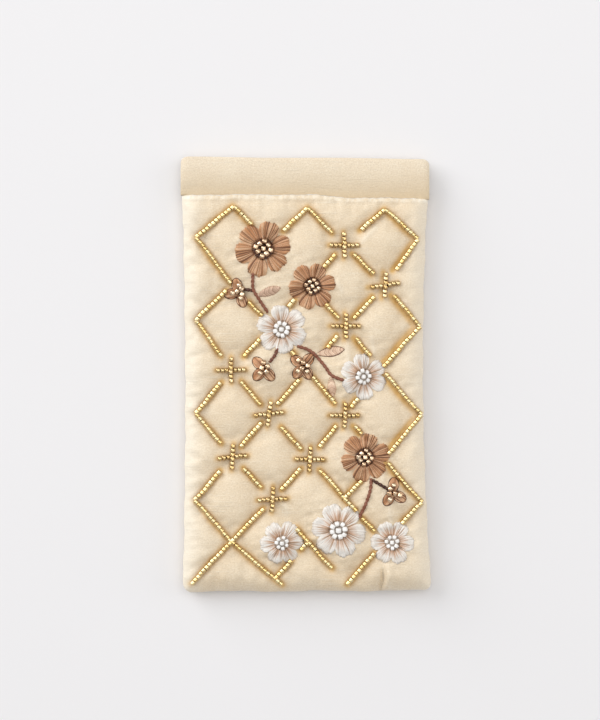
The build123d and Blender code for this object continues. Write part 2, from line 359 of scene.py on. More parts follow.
def neighbours(field):
    """The sum of the four values round each inner point of a grid."""
    return field[:-2, 1:-1] + field[2:, 1:-1] + field[1:-1, :-2] + field[1:-1, 2:]


def relax(field, fixed, load, rounds):
    """Rounds of settling for a stretched skin with a pressure under it."""
    for _ in range(rounds):
        field[1:-1, 1:-1] = 0.25 * neighbours(field) + load
        field[fixed] = 0.0
    return field


def puff():
    """How far the wadding lifts the silk between the stitched lines, from 0 on a line to about 1.

    The skin settles on a coarse grid first, then on finer ones. Returns the distance to the lines as well."""
    thread_width, pressure, flatness = 0.36, 0.0045, 1.25
    lines = [(CORNERS[a], CORNERS[b]) for a, b in lattice_edges() if (a, b) not in BARE]
    near = distance_to_segments(MX, MY, lines)
    edge = np.minimum(np.minimum(MX + HALF, HALF - MX), np.minimum(MY - BOTTOM, BAND_Y - MY))
    field = None
    for step, rounds in ((4, 500), (2, 500), (1, 260)):
        fixed = (near[::step, ::step] < thread_width * step) | (edge[::step, ::step] <= 0.01)
        if field is None:
            field = np.zeros(fixed.shape)
        else:
            rows = np.linspace(0, field.shape[0] - 1, fixed.shape[0])
            cols = np.linspace(0, field.shape[1] - 1, fixed.shape[1])
            field = sample(field, rows, cols)
        field = relax(field, fixed, pressure * (GRID * step) ** 2, rounds)
    return np.tanh(field / field.max() * flatness) / math.tanh(flatness), near


def sample(field, rows, cols):
    """Bilinear values of a grid at every pairing of fractional rows and columns."""
    r0 = np.clip(rows.astype(int), 0, field.shape[0] - 2)
    c0 = np.clip(cols.astype(int), 0, field.shape[1] - 2)
    r, c = (rows - r0)[:, None], (cols - c0)[None, :]
    a, b = field[r0][:, c0], field[r0][:, c0 + 1]
    d, e = field[r0 + 1][:, c0], field[r0 + 1][:, c0 + 1]
    return a * (1 - r) * (1 - c) + b * (1 - r) * c + d * r * (1 - c) + e * r * c


def at(field, x, y):
    """Bilinear values of a grid at points in millimetres."""
    x, y = np.asarray(x, float), np.asarray(y, float)
    c = np.clip((x + HALF) / GRID, 0, field.shape[1] - 1.001)
    r = np.clip((y - BOTTOM) / GRID, 0, field.shape[0] - 1.001)
    c0, r0 = c.astype(int), r.astype(int)
    fc, fr = c - c0, r - r0
    return (field[r0, c0] * (1 - fr) * (1 - fc) + field[r0, c0 + 1] * (1 - fr) * fc
            + field[r0 + 1, c0] * fr * (1 - fc) + field[r0 + 1, c0 + 1] * fr * fc)


def embroidery_pull():
    """Where the silk is drawn into small wrinkles by the stitching, from 0 to 1."""
    near = np.full(MX.shape, 1e9)
    for name in (*FLOWERS, *BUDS):
        middle, size = node_disc(name)
        near = np.minimum(near, np.hypot(MX - middle[0], MY - middle[1]) - size)
    lines = [(a, b) for paths in STEMS.values() for path in paths for a, b in zip(path, path[1:])]
    lines += [(a, b) for a, b, _ in LEAVES.values()]
    near = np.minimum(near, distance_to_segments(MX, MY, lines) - 1)
    return np.exp(-np.clip(near, 0, None) / 3.2)


def blur(field, rounds):
    """A few rounds of softening."""
    for _ in range(rounds):
        field[1:-1, 1:-1] += 0.2 * (neighbours(field) - 4 * field[1:-1, 1:-1])
    return field


PUFF, LINE_NEAR = puff()
PUFF = blur(PUFF, 2)


CLOTH = {
    "quality": 6,
    "mass": 0.2,
    "tension_stiffness": 18,
    "compression_stiffness": 12,
    "shear_stiffness": 6,
    "bending_stiffness": 0.12,
    "shrink_min": -0.045,
    "use_pressure": True,
    "uniform_pressure_force": 2.2,
    "vertex_group_mass": "pins",
}
CLOTH_STEPS = 20


def read(items, key, width=1):
    """A value of every vertex, face or corner of a mesh, in rows where the value has several parts."""
    kind = int if key in ("vertex_index", "loop_total") else float
    values = np.empty(len(items) * width, kind)
    items.foreach_get(key, values)
    return values if width == 1 else values.reshape(-1, width)


def cloth_sheet(scale):
    """A sheet of silk for the simulation, pinned along its stitched lines, and its rows and columns."""
    pitch, stitch_width = 1.25, 0.75
    xs = np.linspace(-HALF, HALF, int(round(2 * HALF / pitch)) + 1)
    ys = np.linspace(BOTTOM, BAND_Y, int(round(BODY / pitch)) + 1)
    gx, gy = np.meshgrid(xs, ys)
    start = QUILT * at(PUFF, gx, gy) + 0.05 * ripple(gx, gy, 5, 7)
    verts = np.stack([gx, gy, start], -1).reshape(-1, 3) * scale
    rows, cols = gx.shape
    faces = [(r * cols + c, r * cols + c + 1, (r + 1) * cols + c + 1, (r + 1) * cols + c)
             for r in range(rows - 1) for c in range(cols - 1)]
    mesh = bpy.data.meshes.new("cloth_work")
    mesh.from_pydata(verts.tolist(), [], faces)
    work = add_object("cloth_work", mesh)
    pinned = at(LINE_NEAR, gx, gy) < stitch_width
    pinned[0], pinned[-1], pinned[:, 0], pinned[:, -1] = True, True, True, True
    work.vertex_groups.new(name="pins").add(np.nonzero(pinned.ravel())[0].tolist(), 1.0, "REPLACE")
    return work, rows, cols


def simulate_cloth():
    """Lets the stitched silk swell a little, so that it puckers along its seams. Returns the lift in mm."""
    scale = 0.01
    work, rows, cols = cloth_sheet(scale)
    cloth = work.modifiers.new("cloth", "CLOTH")
    for key, value in CLOTH.items():
        setattr(cloth.settings, key, value)
    cloth.settings.effector_weights.gravity = 0.0
    cloth.collision_settings.use_collision = False
    cloth.point_cache.frame_start, cloth.point_cache.frame_end = 1, CLOTH_STEPS
    for step in range(1, CLOTH_STEPS + 1):
        bpy.context.scene.frame_set(step)
    got = work.evaluated_get(bpy.context.evaluated_depsgraph_get()).to_mesh()
    lift = read(got.vertices, "co", 3).reshape(rows, cols, 3)[:, :, 2] / scale
    bpy.context.scene.frame_set(1)
    mesh = work.data
    bpy.data.objects.remove(work, do_unlink=True)
    bpy.data.meshes.remove(mesh)
    fine_rows = np.linspace(0, rows - 1, len(GY))
    fine_cols = np.linspace(0, cols - 1, len(GX))
    lowest, highest = -0.6, QUILT + 1.2
    return np.clip(sample(lift, fine_rows, fine_cols), lowest, highest)


LIFT = blur(simulate_cloth(), 2)
# Small hand-made unevenness of the wadding, creases, and wrinkles round the stitching.
PULL = embroidery_pull()
LIFT = LIFT + 0.22 * ripple(MX, MY, 3, 26) + 0.07 * ripple(MX, MY, 9, 8)
CREASE_NEAR = distance_to_segments(MX, MY, CREASES)
LIFT = LIFT + 0.50 * bell(CREASE_NEAR, 0.9)
LIFT = LIFT + 0.55 * PULL * ripple(MX, MY, 13, 4.5, 3)
LIFT = LIFT + 0.22 * np.exp(-LINE_NEAR / 2.2) * ripple(MX, MY, 15, 4.5, 2)


def crown(x, y):
    """The front's height over the seam plane, away from its rounded edges."""
    return VALLEY + at(LIFT, x, y)


def edge_share(inset, radius):
    """How much of its height the padding has at that distance in from its edge."""
    u = np.clip(1 - inset / radius, 0, 1)
    return np.sqrt(np.maximum(1 - u**2.2, 0.0))


SILK_TREES = []


def front_z(x, y):
    """The height of the silk at a point on the front, above the table, found on the finished panels."""
    hits = [tree.ray_cast((x * MM, y * MM, 0.1), (0, 0, -1))[0] for tree in SILK_TREES]
    heights = [hit[2] / MM for hit in hits if hit is not None]
    return max(heights) if heights else SEAM_Z


def band_drop(y):
    """How the padding thins down to the band, past the small roll it makes just under the seam."""
    down = np.clip(BAND_Y - y, 0, None)
    t = np.clip(down / 7.0, 0, 1)
    roll = 0.20 * bell(down - 1.3, 0.9)
    return SEAM_DEPTH + (1 - SEAM_DEPTH) * np.sqrt(1 - (1 - t) ** 2) + roll


def seam_line(x):
    """How far the band's seam wanders along the case."""
    step = -0.4 - 0.7 * np.tanh((x - 11) / 7)
    return step + 0.14 * np.sin(x * 0.23 + 1) + 0.10 * np.sin(x * 0.61) + 0.07 * np.sin(x * 1.9)


# ---------------------------------------------------------------- mesh making


class Pile:
    """Vertices and faces gathered for one mesh, with a tone for each vertex and a kind for each face."""

    def __init__(self):
        self.verts, self.tones, self.faces, self.kinds, self.uvs, self.count = [], [], [], [], [], 0

    def grid(self, points, wrap=False, caps=False, tone=0.0, kind=0, flip=False, uv=None):
        """Adds a grid of points, rows by columns, closed round its columns if wrap is set."""
        rows, cols = points.shape[:2]
        base = self.count
        tone = np.asarray(tone, float)
        tone = tone[:, None] if tone.ndim == 1 else tone
        self.verts.append(points.reshape(-1, 3))
        self.tones.append(np.broadcast_to(tone, (rows, cols)).reshape(-1))
        self.uvs.append(np.zeros((rows * cols, 2)) if uv is None else uv.reshape(-1, 2))
        self.count += rows * cols
        for r in range(base, base + (rows - 1) * cols, cols):
            for c in range(cols if wrap else cols - 1):
                n = (c + 1) % cols
                face = (r + c, r + n, r + cols + n, r + cols + c)
                self.faces.append(face[::-1] if flip else face)
                self.kinds.append(kind)
        if caps:
            first = [base + c for c in range(cols)]
            end = [base + (rows - 1) * cols + c for c in range(cols)]
            self.join([first if flip else first[::-1], end[::-1] if flip else end], kind)
        return base

    def join(self, faces, kind=0):
        """Adds faces between vertices that are already there."""
        self.faces += faces
        self.kinds += [kind] * len(faces)


def lengths_along(path):
    """How far along a path each of its points is."""
    return np.concatenate([[0], np.cumsum(np.linalg.norm(np.diff(path, axis=0), axis=1))])


def ring_steps(count):
    """Each place round a ring with the next one."""
    return [(c, (c + 1) % count) for c in range(count)]


def build(name, pile, materials, uv=False, recalc=False):
    """Makes the object for a pile."""
    mesh = bpy.data.meshes.new(name)
    verts = np.concatenate(pile.verts) * MM
    mesh.from_pydata(verts.tolist(), [], pile.faces)
    for material in materials:
        mesh.materials.append(material)
    mesh.polygons.foreach_set("material_index", pile.kinds)
    mesh.polygons.foreach_set("use_smooth", [True] * len(mesh.polygons))
    tone = mesh.attributes.new("tone", "FLOAT", "POINT")
    tone.data.foreach_set("value", np.concatenate(pile.tones).astype(np.float32))
    if uv:
        layer = mesh.uv_layers.new(name="cloth")
        index = read(mesh.loops, "vertex_index")
        layer.data.foreach_set("uv", (np.concatenate(pile.uvs)[index] * 0.01).astype(np.float32).ravel())
    if recalc:
        work = bmesh.new()
        work.from_mesh(mesh)
        bmesh.ops.recalc_face_normals(work, faces=work.faces)
        work.to_mesh(mesh)
        work.free()
    mesh.update()
    return add_object(name, mesh)


def tube(pile, path, wide, high, sides=6, tone=0.0, twist=0.0, lobes=0, lobe_depth=0.0, kind=0):
    """Adds a closed tube along a path, lobed for a twisted thread. Sizes and tones may change along it."""
    path = np.asarray(path, float)
    ahead = np.gradient(path, axis=0)
    ahead /= np.linalg.norm(ahead, axis=1)[:, None]
    across = np.cross((0.0, 0.0, 1.0), ahead)
    across /= np.maximum(np.linalg.norm(across, axis=1)[:, None], 1e-9)
    rise = np.cross(ahead, across)
    turn = np.linspace(0, 2 * math.pi, sides, endpoint=False)
    length = lengths_along(path)
    swell = 1 + lobe_depth * np.cos(lobes * (turn[None, :] - twist * length[:, None]))
    w, h = (np.asarray(size, float).reshape(-1, 1) * swell / 2 for size in (wide, high))
    points = (path[:, None, :] + across[:, None, :] * (w * np.cos(turn))[:, :, None]
              + rise[:, None, :] * (h * np.sin(turn))[:, :, None])
    pile.grid(points, wrap=True, caps=True, tone=tone, kind=kind)


def fold_weight(x, y, side):
    """How far a point follows its side piece: 0 up to the fold line, 1 near the side seam.

    The fold widens towards the mouth."""
    out = hand_of(side) * x
    line = np.maximum(HALF * (1 - (y - BOTTOM) / BODY), 0.0)
    t = np.clip((out - line) / np.maximum(HALF - line, 1e-4) / 0.62, 0, 1)
    return t * t * (3 - 2 * t)


def fold(piece, face, side):
    """Lets a piece ride with the middle or with its side where it lies wholly on one side of its fold line; a
    piece that crosses the line is only baked in place, not bent.
    """
    co = read(piece.data.vertices, "co", 3) / MM
    weight = fold_weight(co[:, 0], co[:, 1], side)
    if weight.max() < 1e-4:
        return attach(piece, f"{face}_centre")
    if weight.min() > 1 - 1e-4:
        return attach(piece, f"{face}_{side}")
    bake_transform(piece)
    # The fold is tight at the bottom corner and opens out towards the mouth, so it has weights of its own;
    # they only choose where a piece rides.
    return piece


def place(piece, side, slot, *nodes, face="front"):
    """Hides the CAD nodes that a piece stands for and passes it to fold with its half. What it is made of,
    the slot, is not used.
    """
    if nodes:
        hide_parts(*nodes)
    return fold(piece, face, side)


# ---------------------------------------------------------------- materials


class Nodes:
    """A short way to wire a material."""

    def __init__(self, name, rough=0.5, **sockets):
        self.material = bpy.data.materials.new(name)
        self.material.use_nodes = True
        self.tree = self.material.node_tree
        self.shader = self.tree.nodes["Principled BSDF"]
        self.shader.inputs["Roughness"].default_value = rough
        for key, value in sockets.items():
            self.shader.inputs[key.replace("_", " ")].default_value = value

    def add(self, kind, links=None, **settings):
        node = self.tree.nodes.new(kind)
        for key, value in settings.items():
            if hasattr(node, key):
                setattr(node, key, value)
            else:
                node.inputs[key.replace("_", " ")].default_value = value
        for key, source in (links or {}).items():
            self.link(source, node.inputs[key])
        return node

    def link(self, source, target):
        self.tree.links.new(source, target)

    def math(self, operation, a, b=0.0, clamp=False):
        node = self.tree.nodes.new("ShaderNodeMath")
        node.operation, node.use_clamp = operation, clamp
        for value, socket in ((a, node.inputs[0]), (b, node.inputs[1])):
            if isinstance(value, (int, float)):
                socket.default_value = value
            else:
                self.link(value, socket)
        return node.outputs[0]

    def times(self, a, b, clamp=False):
        return self.math("MULTIPLY", a, b, clamp)

    def plus(self, a, b, clamp=False):
        return self.math("ADD", a, b, clamp)

    def mix(self, share, a, b):
        node = self.tree.nodes.new("ShaderNodeMix")
        node.data_type = "RGBA"
        for value, socket in ((share, node.inputs["Factor"]), (a, node.inputs[6]), (b, node.inputs[7])):
            if isinstance(value, (int, float)):
                socket.default_value = value
            elif isinstance(value, tuple):
                socket.default_value = (*value, 1.0)
            else:
                self.link(value, socket)
        return node.outputs[2]

    def tint(self, colour, source, low, high, amount, over):
        """Another colour laid over the first by that much, where the source runs from low to high."""
        return self.mix(self.times(self.ramp(source, low, high), amount), colour, over)

    def ramp(self, source, low, high):
        node = self.add("ShaderNodeMapRange", {"Value": source})
        node.inputs["From Min"].default_value, node.inputs["From Max"].default_value = low, high
        return node.outputs[0]

    def noise(self, vector, scale, stretch=(1, 1, 1), detail=3.0, rough=0.5):
        mapping = self.add("ShaderNodeMapping", {"Vector": vector})
        mapping.inputs["Scale"].default_value = stretch
        node = self.add("ShaderNodeTexNoise", {"Vector": mapping.outputs[0]})
        node.inputs["Scale"].default_value, node.inputs["Detail"].default_value = scale, detail
        node.inputs["Roughness"].default_value = rough
        return node.outputs["Fac"]

    def tone(self):
        return self.add("ShaderNodeAttribute", attribute_name="tone").outputs["Fac"]

    def place(self):
        return self.add("ShaderNodeTexCoord").outputs["Object"]

    def island(self):
        return self.add("ShaderNodeNewGeometry").outputs["Random Per Island"]

    def cloth(self):
        return self.add("ShaderNodeUVMap", uv_map="cloth").outputs[0]

    def roughness(self, source):
        self.link(source, self.shader.inputs["Roughness"])

    def colour(self, source):
        self.link(source, self.shader.inputs["Base Color"])

    def bump(self, height, distance, strength=1.0):
        node = self.add("ShaderNodeBump", {"Height": height})
        node.inputs["Distance"].default_value, node.inputs["Strength"].default_value = distance * MM, strength
        self.link(node.outputs[0], self.shader.inputs["Normal"])


def shade(colour, share):
    """A colour darkened to that share of itself."""
    return tuple(v * share for v in colour)


def silk_material(name, pale, deep, tones, streak=1.0):
    """Slubbed silk: a fine weave with uneven thicker threads running across, and a soft sheen.

    Each of the tones is how much of the vertex tone to lay over the silk, and the colour that it lays, which
    is painted light and shade."""
    n = Nodes(name, rough=0.42, Sheen_Weight=0.42, Sheen_Roughness=0.35, Specular_IOR_Level=0.5)
    uv = n.cloth()
    cloud = n.noise(uv, 8.0, detail=4.0, rough=0.6)
    slub = n.noise(uv, 1.0, (7, 190, 1), detail=2.0, rough=0.45)
    thread = n.ramp(slub, 0.58, 0.74)
    grain = n.noise(uv, 1.0, (95, 210, 1), detail=3.0, rough=0.7)
    fine = n.noise(uv, 1.0, (60, 560, 1), detail=2.0)
    warp = n.noise(uv, 1.0, (620, 40, 1), detail=1.0)
    colour = n.mix(n.ramp(cloud, 0.32, 0.68), deep, pale)
    colour = n.tint(colour, grain, 0.38, 0.68, 0.55, shade(deep, 0.80))
    colour = n.tint(colour, fine, 0.35, 0.75, 0.30, shade(deep, 0.86))
    colour = n.mix(n.times(thread, 0.40 * streak), colour, (0.97, 0.89, 0.73))
    speck = n.noise(uv, 170.0, detail=2.0, rough=0.7)
    colour = n.tint(colour, speck, 0.50, 0.72, 0.32 * streak, shade(deep, 0.72))
    colour = n.tint(colour, speck, 0.50, 0.30, 0.36 * streak, (1.0, 0.93, 0.80))
    for amount, over in tones:
        colour = n.mix(n.times(n.tone(), amount, clamp=True), colour, over)
    n.colour(colour)
    n.roughness(n.plus(n.times(thread, -0.10), n.plus(n.times(fine, 0.14), 0.34)))
    height = n.plus(n.times(thread, 0.9), n.times(fine, 0.8))
    height = n.plus(height, n.plus(n.times(warp, 0.35), n.plus(n.times(grain, 1.3), n.times(speck, 1.2))))
    n.bump(height, 0.085 * streak, 0.9)
    return n.material


def thread_material(name, inner, outer, dark, light=None, rough=0.38, streaks=0.75, fade=0.5):
    """Satin stitch: threads that run from an inner to an outer colour, some darker and some lighter.

    The streaks are how dark the darker threads get, and fade is how much of that is lost towards the edge."""
    n = Nodes(name, rough=rough, Specular_IOR_Level=0.35, Anisotropic=0.35)
    island = n.island()
    fuzz = n.noise(n.place(), 1500.0, detail=2.0)
    tone = n.plus(n.tone(), n.times(n.math("SUBTRACT", island, 0.5), 0.30), clamp=True)
    colour = n.mix(tone, inner, outer)
    bright = n.times(n.ramp(island, 0.56, 0.88), 0.70)
    colour = n.mix(bright, colour, light or tuple(min(v * 1.3, 1.0) for v in outer))
    deep = n.times(n.ramp(n.math("SUBTRACT", 1.0, island), 0.56, 0.90), streaks)
    deep = n.times(deep, n.math("SUBTRACT", 1.2, n.times(tone, fade)))
    colour = n.mix(n.times(deep, 1.0, clamp=True), colour, dark)
    colour = n.mix(n.times(fuzz, 0.22), colour, dark)
    n.colour(colour)
    n.bump(fuzz, 0.05, 0.7)
    return n.material


def bead_material(name, light, deep, edge, metal, rough):
    """Small glossy beads, each a slightly different tint, with painted shade at the sides and where they
    meet.
    """
    n = Nodes(name, rough=rough, Metallic=metal, Coat_Weight=1.0, Coat_Roughness=0.06)
    island = n.island()
    grain = n.noise(n.place(), 900.0, detail=1.0)
    colour = n.mix(island, deep, light)
    colour = n.tint(colour, grain, 0.45, 0.75, 0.35, deep)
    # Low tones take the edge colour, painted shade.
    n.colour(n.mix(n.ramp(n.tone(), 0.12, 0.82), edge, colour))
    n.roughness(n.plus(n.times(island, 0.10), rough))
    n.bump(grain, 0.03, 0.5)
    return n.material


def plain_weave(name, pale, deep, pitch=0.35, rough=0.8):
    """A plain cotton weave, for the lining, or felted wadding with a coarse pitch."""
    n = Nodes(name, rough=rough, Sheen_Weight=0.3)
    uv = n.cloth()
    cloud = n.noise(uv, 14.0)
    over = n.noise(uv, 1.0, (100 / pitch, 18, 1), detail=1.0)
    under = n.noise(uv, 1.0, (18, 100 / pitch, 1), detail=1.0)
    weave = n.plus(over, under)
    colour = n.mix(n.ramp(cloud, 0.3, 0.7), deep, pale)
    n.colour(n.tint(colour, weave, 0.8, 1.25, 0.25, shade(deep, 0.8)))
    n.bump(weave, 0.06, 0.8)
    return n.material


def moulded(name, base, metal, rough, stretch):
    """Brushed steel or moulded plastic, for the parts sewn into the band."""
    n = Nodes(name, rough=rough, Metallic=metal)
    grain = n.noise(n.place(), 1.0, stretch)
    n.colour(n.mix(n.times(grain, 0.4), base, shade(base, 0.75)))
    n.roughness(n.plus(n.times(grain, 0.2), rough - 0.1))
    n.bump(grain, 0.01, 0.5)
    return n.material


# The panels take a painted golden reflection of the beads and painted pale sheen on creases, rims and seams.
# The band takes painted shade, darker towards its seam.
PAINTED_BEAD_REFLECTION = (0.92, (0.76, 0.46, 0.13))
# Painted pale sheen, laid where the tone is below zero.
PAINTED_SHEEN = (-0.75, (0.99, 0.93, 0.80))
# Painted shade for the band, laid by its tone.
BAND_PAINTED_SHADE = (0.78, (0.68, 0.535, 0.34))
SILK = silk_material("silk_panel", (0.915, 0.78, 0.58), (0.845, 0.685, 0.475), (PAINTED_BEAD_REFLECTION, PAINTED_SHEEN))
BAND_SILK = silk_material("silk_band", (0.94, 0.825, 0.635), (0.87, 0.73, 0.54), (BAND_PAINTED_SHADE,), streak=1.35)
LINING = plain_weave("lining", (0.72, 0.62, 0.46), (0.64, 0.53, 0.38))
WADDING = plain_weave("wadding", (0.85, 0.84, 0.80), (0.78, 0.76, 0.72), pitch=1.2, rough=0.95)

# Threads: inner, outer and dark colours.
BROWN = thread_material("brown_thread", (0.78, 0.43, 0.235), (0.70, 0.35, 0.165), (0.16, 0.06, 0.03),
                        light=(1.0, 0.72, 0.47), streaks=0.70, fade=0.30)
# The dark patches under the petals show between the threads as painted shade; the brown patch material also
# colours the buds' outlines.
BROWN_SHADE_AND_OUTLINE = thread_material("brown_shade_and_outline", (0.15, 0.055, 0.025), (0.20, 0.08, 0.04), (0.07, 0.025, 0.012))
WHITE = thread_material("white_thread", (0.80, 0.52, 0.34), (1.0, 0.975, 0.92), (0.44, 0.29, 0.185),
                        light=(1.0, 0.985, 0.945), rough=0.42, streaks=0.74, fade=0.92)
WHITE_PETAL_SHADE = thread_material("white_petal_shade", (0.46, 0.29, 0.19), (0.60, 0.42, 0.30), (0.30, 0.18, 0.12))
STEM = thread_material("stem_thread", (0.085, 0.027, 0.016), (0.27, 0.105, 0.062), (0.04, 0.015, 0.009))
TAN = thread_material("tan_leaf", (0.56, 0.37, 0.26), (0.71, 0.52, 0.39), (0.46, 0.29, 0.20))
PINK = thread_material("pink_leaf", (0.76, 0.52, 0.37), (0.84, 0.62, 0.46), (0.50, 0.31, 0.21))
CORE_DARK = thread_material("flower_core", (0.10, 0.04, 0.022), (0.14, 0.06, 0.03), (0.05, 0.02, 0.010))
CORE_PALE = thread_material("pale_core", (0.64, 0.55, 0.47), (0.74, 0.66, 0.58), (0.38, 0.30, 0.24))

# Beads: light, deep and edge colours, how metallic and how rough. The edge colour is painted shade at each
# bead's sides and ends.
GOLD = bead_material("gold_beads", (1.0, 0.84, 0.47), (0.88, 0.61, 0.22), (0.44, 0.23, 0.05), 1.0, 0.20)
CROSS_GOLD = bead_material("cross_beads", (0.96, 0.76, 0.42), (0.72, 0.48, 0.17), (0.32, 0.17, 0.05),
                           1.0, 0.16)
BRONZE = bead_material("bronze_beads", (1.0, 0.82, 0.60), (0.80, 0.55, 0.34), (0.24, 0.11, 0.05), 1.0, 0.16)
PEARL = bead_material("pearl_beads", (0.99, 0.985, 0.97), (0.96, 0.95, 0.92), (0.66, 0.60, 0.54), 0.0, 0.26)
STEEL = moulded("spring_steel", (0.60, 0.61, 0.63), 1.0, 0.32, (400, 9000, 9000))
CAP = moulded("strip_cap", (0.82, 0.81, 0.78), 0.0, 0.5, (1400, 1400, 1400))

# ---------------------------------------------------------------- padded panels


def outline(y, hand):
    """How far the case reaches to one side at a height: slimmer in the middle, and not quite straight."""
    t = np.clip((y - BOTTOM) / BODY, 0, 1)
    foot, waist, top = (-1.0, 0.1, -1.2) if hand < 0 else (-1.2, 2.3, 0.4)
    drawn_in = foot + (top - foot) * t + (waist - (foot + top) / 2) * np.sin(math.pi * t) ** 0.8
    return HALF - drawn_in + 0.14 * np.sin(y * 0.31) + 0.10 * np.sin(y * 0.83 + 1.0)


def insets(radius, pitch, far):
    """Distances in from an edge, close together round the edge's curve and then evenly spaced."""
    turn = np.linspace(0, math.pi / 2, 13)
    curve = radius * (1 - np.cos(turn))
    count = max(int(round((far - radius) / pitch)), 2)
    return np.concatenate([curve[:-1], np.linspace(radius, far, count)])


def panel_grid(hand, layer):
    """In-plane grid of half a layer, from its outer edge to the middle and from the bottom to the band.

    Returns x, y, the distance in from the outer edge, and the unrounded distances for the weave."""
    radius, pitch = EDGE_RADIUS[layer], MESH_PITCH[layer]
    a, b = np.meshgrid(insets(radius, pitch, HALF), insets(radius, pitch, BODY))
    ca, cb = CORNER - a, CORNER - b
    inside = (ca > 0) & (cb > 0)
    long, short = np.maximum(ca, cb), np.hypot(ca, cb)
    scale = np.where(inside, long / np.maximum(short, 1e-9), 1.0)
    ra = np.where(inside, CORNER - ca * scale, a)
    rb = np.where(inside, CORNER - cb * scale, b)
    share = 1 - ra / HALF
    part = share * hand
    foot = 0.22 * np.sin(part * 9.0 + 0.6) + 0.12 * np.sin(part * 23.0) - 0.8 + 0.25 * part
    y = BOTTOM + rb + foot * np.clip(1 - rb / 12, 0, 1)
    x = hand * outline(y, hand) * share
    return x, y, np.minimum(a, b), a, b


def bowl(inset, radius):
    """How far a surface has come down from its edge, from 0 to 1, along a quarter circle of that radius."""
    return np.sqrt(1 - (1 - np.clip(inset / radius, 0, 1)) ** 2)


def seam_allowance(pile, face):
    """The turned-in edge of a panel inside the right seam, where the outline lies inside the fold's line.

    It stands across the seam, so that little of a slit shows there when the mouth opens."""
    up = up_of(face)
    inset, longest = ALLOWANCE[face]
    y = np.linspace(BOTTOM + 8, BAND_Y - 0.4, 90)
    x = outline(y, 1) - inset
    reach = np.clip(0.55 * (HALF - x), 0.1, longest)
    half_thick, height = 0.1, 1.85
    root, tip = np.full_like(y, SEAM_Z + up * height), SEAM_Z - up * reach
    inner, outer = x - half_thick, x + half_thick
    corners = [(inner, root), (outer, root), (outer, tip), (inner, tip)]
    points = np.stack([np.stack([cx, y, cz], -1) for cx, cz in corners], 1)
    pile.grid(points, wrap=True, caps=True, flip=up < 0, uv=points[:, :, 1:])


def pad_half(face, side, outer, inset, a, b, tone=0.0):
    """Half of a padded panel from its outer surface: silk outside, wadding within, closed all round."""
    hand, up = hand_of(side), up_of(face)
    x, y = outer[:, :, 0], outer[:, :, 1]
    level = LINING_Z[face] + up * WADDING_GAP
    inner_x = x - hand * WALL * np.clip(1 - a / HALF, 0, 1)
    inner_y = y + WALL * np.clip(1 - b / 40, 0, 1)
    inner_y[-1] = y[-1]
    inner_z = SEAM_Z + up * 0.05 + (level - SEAM_Z) * bowl(inset, EDGE_RADIUS[face])
    inner = np.stack([inner_x, inner_y, inner_z], -1)
    uv = np.stack([hand * (HALF - a), y + WEAVE_START[f"{face}_pad"]], -1)
    pile = Pile()
    top = pile.grid(outer, tone=tone, flip=hand * up > 0, uv=uv)
    under = pile.grid(inner, kind=1, flip=hand * up < 0, uv=uv)
    close(pile, top, under, x.shape, hand * up)
    if side == "right":
        seam_allowance(pile, face)
    piece = build(f"{face}_pad_{side}", pile, [SILK, WADDING], uv=True)
    smooth_across_middle(piece)
    for layer in ("panel", "wadding"):
        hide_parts(*halves(f"{face}_{layer}", side))
    return piece


def silk_painted_light(flat_x, y, a, b, hand):
    """The tone of the front's silk, which paints light on it: a painted gold reflection beside the beads with
    a faint warm painted shade round it, and painted pale sheen on creases, at the side and at the band.
    """
    beads, creases = at(BEAD_NEAR, flat_x, y), at(CREASE_NEAR, flat_x, y)
    painted_light = np.exp(-(beads / 0.95) ** 1.4) + 0.07 * bell(beads, 4.0) - 0.30 * bell(creases, 1.0)
    painted_light = painted_light - (0.9 if hand < 0 else 0.6) * bell(a, 6.5)
    under_seam = BAND_Y + UNDERLAP - b - BOTTOM
    # The painted highlight on the roll under the band's seam comes and goes along the gathers.
    ridge_highlight = 0.55 + 0.40 * np.sin(flat_x * 2.1 + 2 * np.sin(flat_x * 0.7))
    return painted_light - bell(under_seam - 1.2, 0.8) * ridge_highlight


def front_pad(side):
    """Half of the quilted front."""
    hand = hand_of(side)
    x, y, inset, a, b = panel_grid(hand, "front")
    share = edge_share(inset, EDGE_RADIUS["front"])
    flat_x = hand * (HALF - a)
    z = SEAM_Z + SEAM_GAP + (crown(flat_x, y) * band_drop(y) - SEAM_GAP) * share
    # Small puckers where the silk is gathered into the band, along the foot and up the side.
    z = z + seam_puckers(flat_x, BAND_Y - y, 17) * np.clip(share, 0, 1)
    z = z + 0.8 * foot_puckers(flat_x, y - BOTTOM) * share
    z = z + side_puckers(y, a, side) * share
    x = x - hand * 0.5 * bell(inset, 0.25)
    y = y + (seam_line(flat_x) + UNDERLAP) * np.clip(1 - (BAND_Y - y) / 10, 0, 1)
    # The tone paints light on the silk: a gold reflection beside the beads and pale sheen highlights.
    tone = silk_painted_light(flat_x, y, a, b, hand)
    piece = pad_half("front", side, np.stack([x, y, z], -1), inset, a, b, tone)
    polygons = [tuple(p.vertices) for p in piece.data.polygons]
    SILK_TREES.append(BVHTree.FromPolygons([v.co.copy() for v in piece.data.vertices], polygons))
    return fold(piece, "front", side)


def close(pile, top, under, shape, hand):
    """Joins an outer and an inner grid round their borders."""
    rows, cols = shape
    ring = [(r, 0) for r in range(rows - 1, 0, -1)] + [(0, c) for c in range(cols)]
    ring += [(r, cols - 1) for r in range(1, rows)] + [(rows - 1, c) for c in range(cols - 2, 0, -1)]
    faces = []
    for k, (r, c) in enumerate(ring):
        s, d = ring[(k + 1) % len(ring)]
        face = (top + r * cols + c, under + r * cols + c, under + s * cols + d, top + s * cols + d)
        faces.append(face if hand < 0 else face[::-1])
    pile.join(faces)


